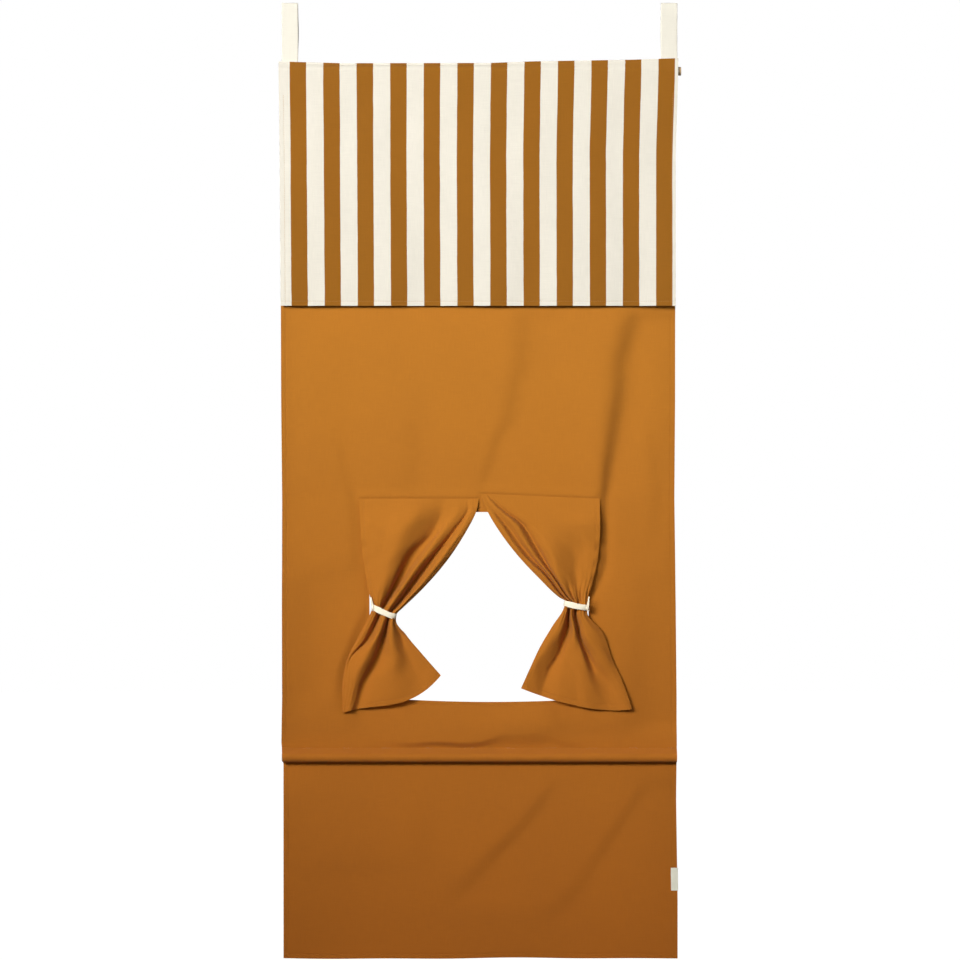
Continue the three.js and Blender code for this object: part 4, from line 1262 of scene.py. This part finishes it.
# The tunnel for the lower rod. It is a tuck in the front of the cloth, sewn through along its upper
# edge, so that it stands out as a narrow round band across the whole width.
LOWER_ROD = (-0.0100, -1.3855)
front_top = (-0.0021, TUCK_SEAM)
down_back = np.linspace(TUCK_SEAM, LOWER_ROD[1], 8)[:-1]
back_part = np.stack([np.full(7, LOWER_ROD[0] + POCKET_RADIUS), down_back], 1)
touch = touch_angle(LOWER_ROD, POCKET_RADIUS, *front_top)
round_rod = arc_about(LOWER_ROD, POCKET_RADIUS, 270, touch, 34)
rise = np.linspace(round_rod[-1], front_top, 6)[1:]
columns = [-HALF_WIDTH, -0.3636] + between(-0.362, 0.3621, 0.0045) + [0.3621, 0.3636, HALF_WIDTH]
x, y, z, far = swept(columns, np.concatenate([back_part, round_rod, rise]))
loose = np.exp(-(((z - LOWER_ROD[1] - 0.004) / 0.009) ** 2)) * (y < LOWER_ROD[0])
y = y - 0.0004 * loose * (np.sin(x / 0.019 + 1) + np.sin(x / 0.0083))
z = z + 0.0003 * np.sin(x / 0.012) * past(TUCK_SEAM - 0.008, TUCK_SEAM, z) * (y < -0.0015)
middle = np.stack([x + sway(x, z), y, z], -1)
flat = np.stack([x, far], -1)
lower_pocket = sheet_about("lower_rod_pocket_cloth", middle, CLOTH, flat, ochre_canvas)
rides(lower_pocket, "hanging_cloth", "lower_rod_pocket")

line_x = np.linspace(-STITCH_END, STITCH_END, 320)
line_z = np.full(320, TUCK_SEAM - 0.0016)
tuck_runs = []
for y, outside in ((-0.0028, -1), (CLOTH / 2, 1)):
    points = np.stack([line_x + sway(line_x, line_z), np.full(320, y), line_z], 1)
    tuck_runs.append((points, (0, outside, 0)))
tuck_stitches = stitches("lower_rod_pocket_stitches", tuck_runs, ochre_thread)
rides(tuck_stitches, "hanging_cloth")

# The lower rod. A second beech dowel weights the cloth under the window. It is 2 mm shorter at each
# side than its tunnel and hidden in it.
lower_dowel = turned_rod("lower_beech_dowel", -0.363, 0.363, LOWER_ROD, beech_wood)
rides(lower_dowel, "lower_rod", "lower_dowel")

# The lower panel. It is the same canvas, carried on below the tuck, with its side hems and a turned
# and sewn hem along the floor edge. Nothing weights it, so it hangs in faint waves.
FLOOR_EDGE = -1.756
LOWER_FOLDS = folds("""
    130 -1446 18 0 .16
    87 -1501 22 0 .16
    34 -1556 26 0 .19
    -20 -1612 30 0 .12
    -60 -1660 30 0 .04

    300 -1446 18 0 .13
    262 -1501 18 0 .15
    226 -1556 18 0 .15
    190 -1612 24 0 .10
    140 -1670 30 0 .10

    -100 -1450 30 0 .02
    -100 -1501 32 0 .08
    -110 -1580 30 0 .06

    -240 -1600 50 -2.4 0
    -250 -1740 50 -2.4 0

    0 -1660 70 2 0
    30 -1756 70 2 0
""")


def lower_depth(x, z):
    """The depth of the lower panel's middle surface. Its edges curl as the main panel's do."""
    free = past(0, 0.06, -1.3946 - z)
    curl = 0.0070 * np.exp(-(x + HALF_WIDTH) / 0.070) - 0.0070 * np.exp((x - HALF_WIDTH) / 0.060)
    return -(soft_folds(x, z, LOWER_FOLDS) + curl) * free


def on_lower(x, z, before):
    """Points of the lower panel, so far before its middle surface."""
    edge_wave = 0.0010 * np.sin(x / 0.085 + 0.6) + 0.0006 * np.sin(x / 0.037)
    settled = z + edge_wave * past(-1.60, FLOOR_EDGE, z)
    return np.stack([x + sway(x, z), lower_depth(x, z) - before, settled], -1)


columns = np.array(left_hem + between(-0.350, 0.3495, GRID) + [0.3495] + right_hem)
rows = np.array(
    between(TUCK_SEAM - 0.0003, -1.392, GRID)
    + between(-1.392, -1.410, 0.0018)
    + between(-1.410, FLOOR_EDGE + 0.0115, GRID)
    + [FLOOR_EDGE + mark for mark in bottom_marks]
)
x, z = np.meshgrid(columns, rows)
dent, thickness = flap_hems(x, z, FLOOR_EDGE)
lower_panel = sewn_sheet(
    "lower_panel_cloth",
    on_lower(x, z, CLOTH / 2 - dent),
    on_lower(x, z, CLOTH / 2 - thickness),
    np.stack([x, z], -1),
    ochre_canvas,
)
lower_stitches = flap_stitches(
    "lower_panel_stitches", on_lower, TUCK_SEAM - 0.004, FLOOR_EDGE, 180, ochre_thread
)
bends((lower_panel, lower_stitches))
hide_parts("lower_panel")

# The label. A strip of white satin is folded over the right edge and caught in the side hem's
# stitches. It is left bare.
LABEL_TOP = -1.590
LABEL_HEIGHT = 0.042
LABEL_INSET = 0.012
LABEL = 0.0005
LABEL_AWAY = 0.0004
label_satin, shader, wire = new_finish("label_satin", {})
across, down, height, yarn = weave(wire, 0.0005)
# Painted shade: the weave's height makes the satin's raised threads a little lighter and the gaps
# between them a little darker.
shaded(seen(244, 241, 221), 1.0 + 0.03 * height + 0.1 * yarn).into(shader, "Base Color")
(0.38 + 0.1 * height).into(shader, "Roughness")
bumped(shader, height + yarn, 0.3, 0.0002)
front_y, back_y = -CLOTH / 2 - LABEL_AWAY, HEM - CLOTH / 2 + LABEL_AWAY
inward = np.linspace(HALF_WIDTH - LABEL_INSET, HALF_WIDTH, 8)
a = np.linspace(0, math.pi, 9)
edge_y = (front_y + back_y) / 2 - (back_y - front_y) / 2 * np.cos(a)
path = np.concatenate([
    np.stack([inward, np.full(8, front_y)], 1),
    np.stack([HALF_WIDTH + LABEL_AWAY + 0.0006 * np.sin(a), edge_y], 1),
    np.stack([inward[::-1], np.full(8, back_y)], 1),
])
marks = [0, 0.0004, 0.0012, *np.linspace(0.004, 0.038, 12), 0.0408, 0.0416, LABEL_HEIGHT]
column, z = np.meshgrid(np.arange(len(path)), LABEL_TOP - np.array(marks))
x, y, far = path[column, 0], path[column, 1], along_path(path)[column]
down_label = (z - LABEL_TOP) / LABEL_HEIGHT
curl = 0.0005 * past(0.0, 0.010, HALF_WIDTH - x) * np.cos(2 * math.pi * down_label)
y = y + np.where(y < 0, -1, 1) * np.abs(curl)
middle = np.stack([x + sway(x, z), y + lower_depth(x, z), z], -1)
label = sheet_about("side_label_satin", middle, LABEL, np.stack([far, z], -1), label_satin)
rides(label, "lower_flap", "side_label")
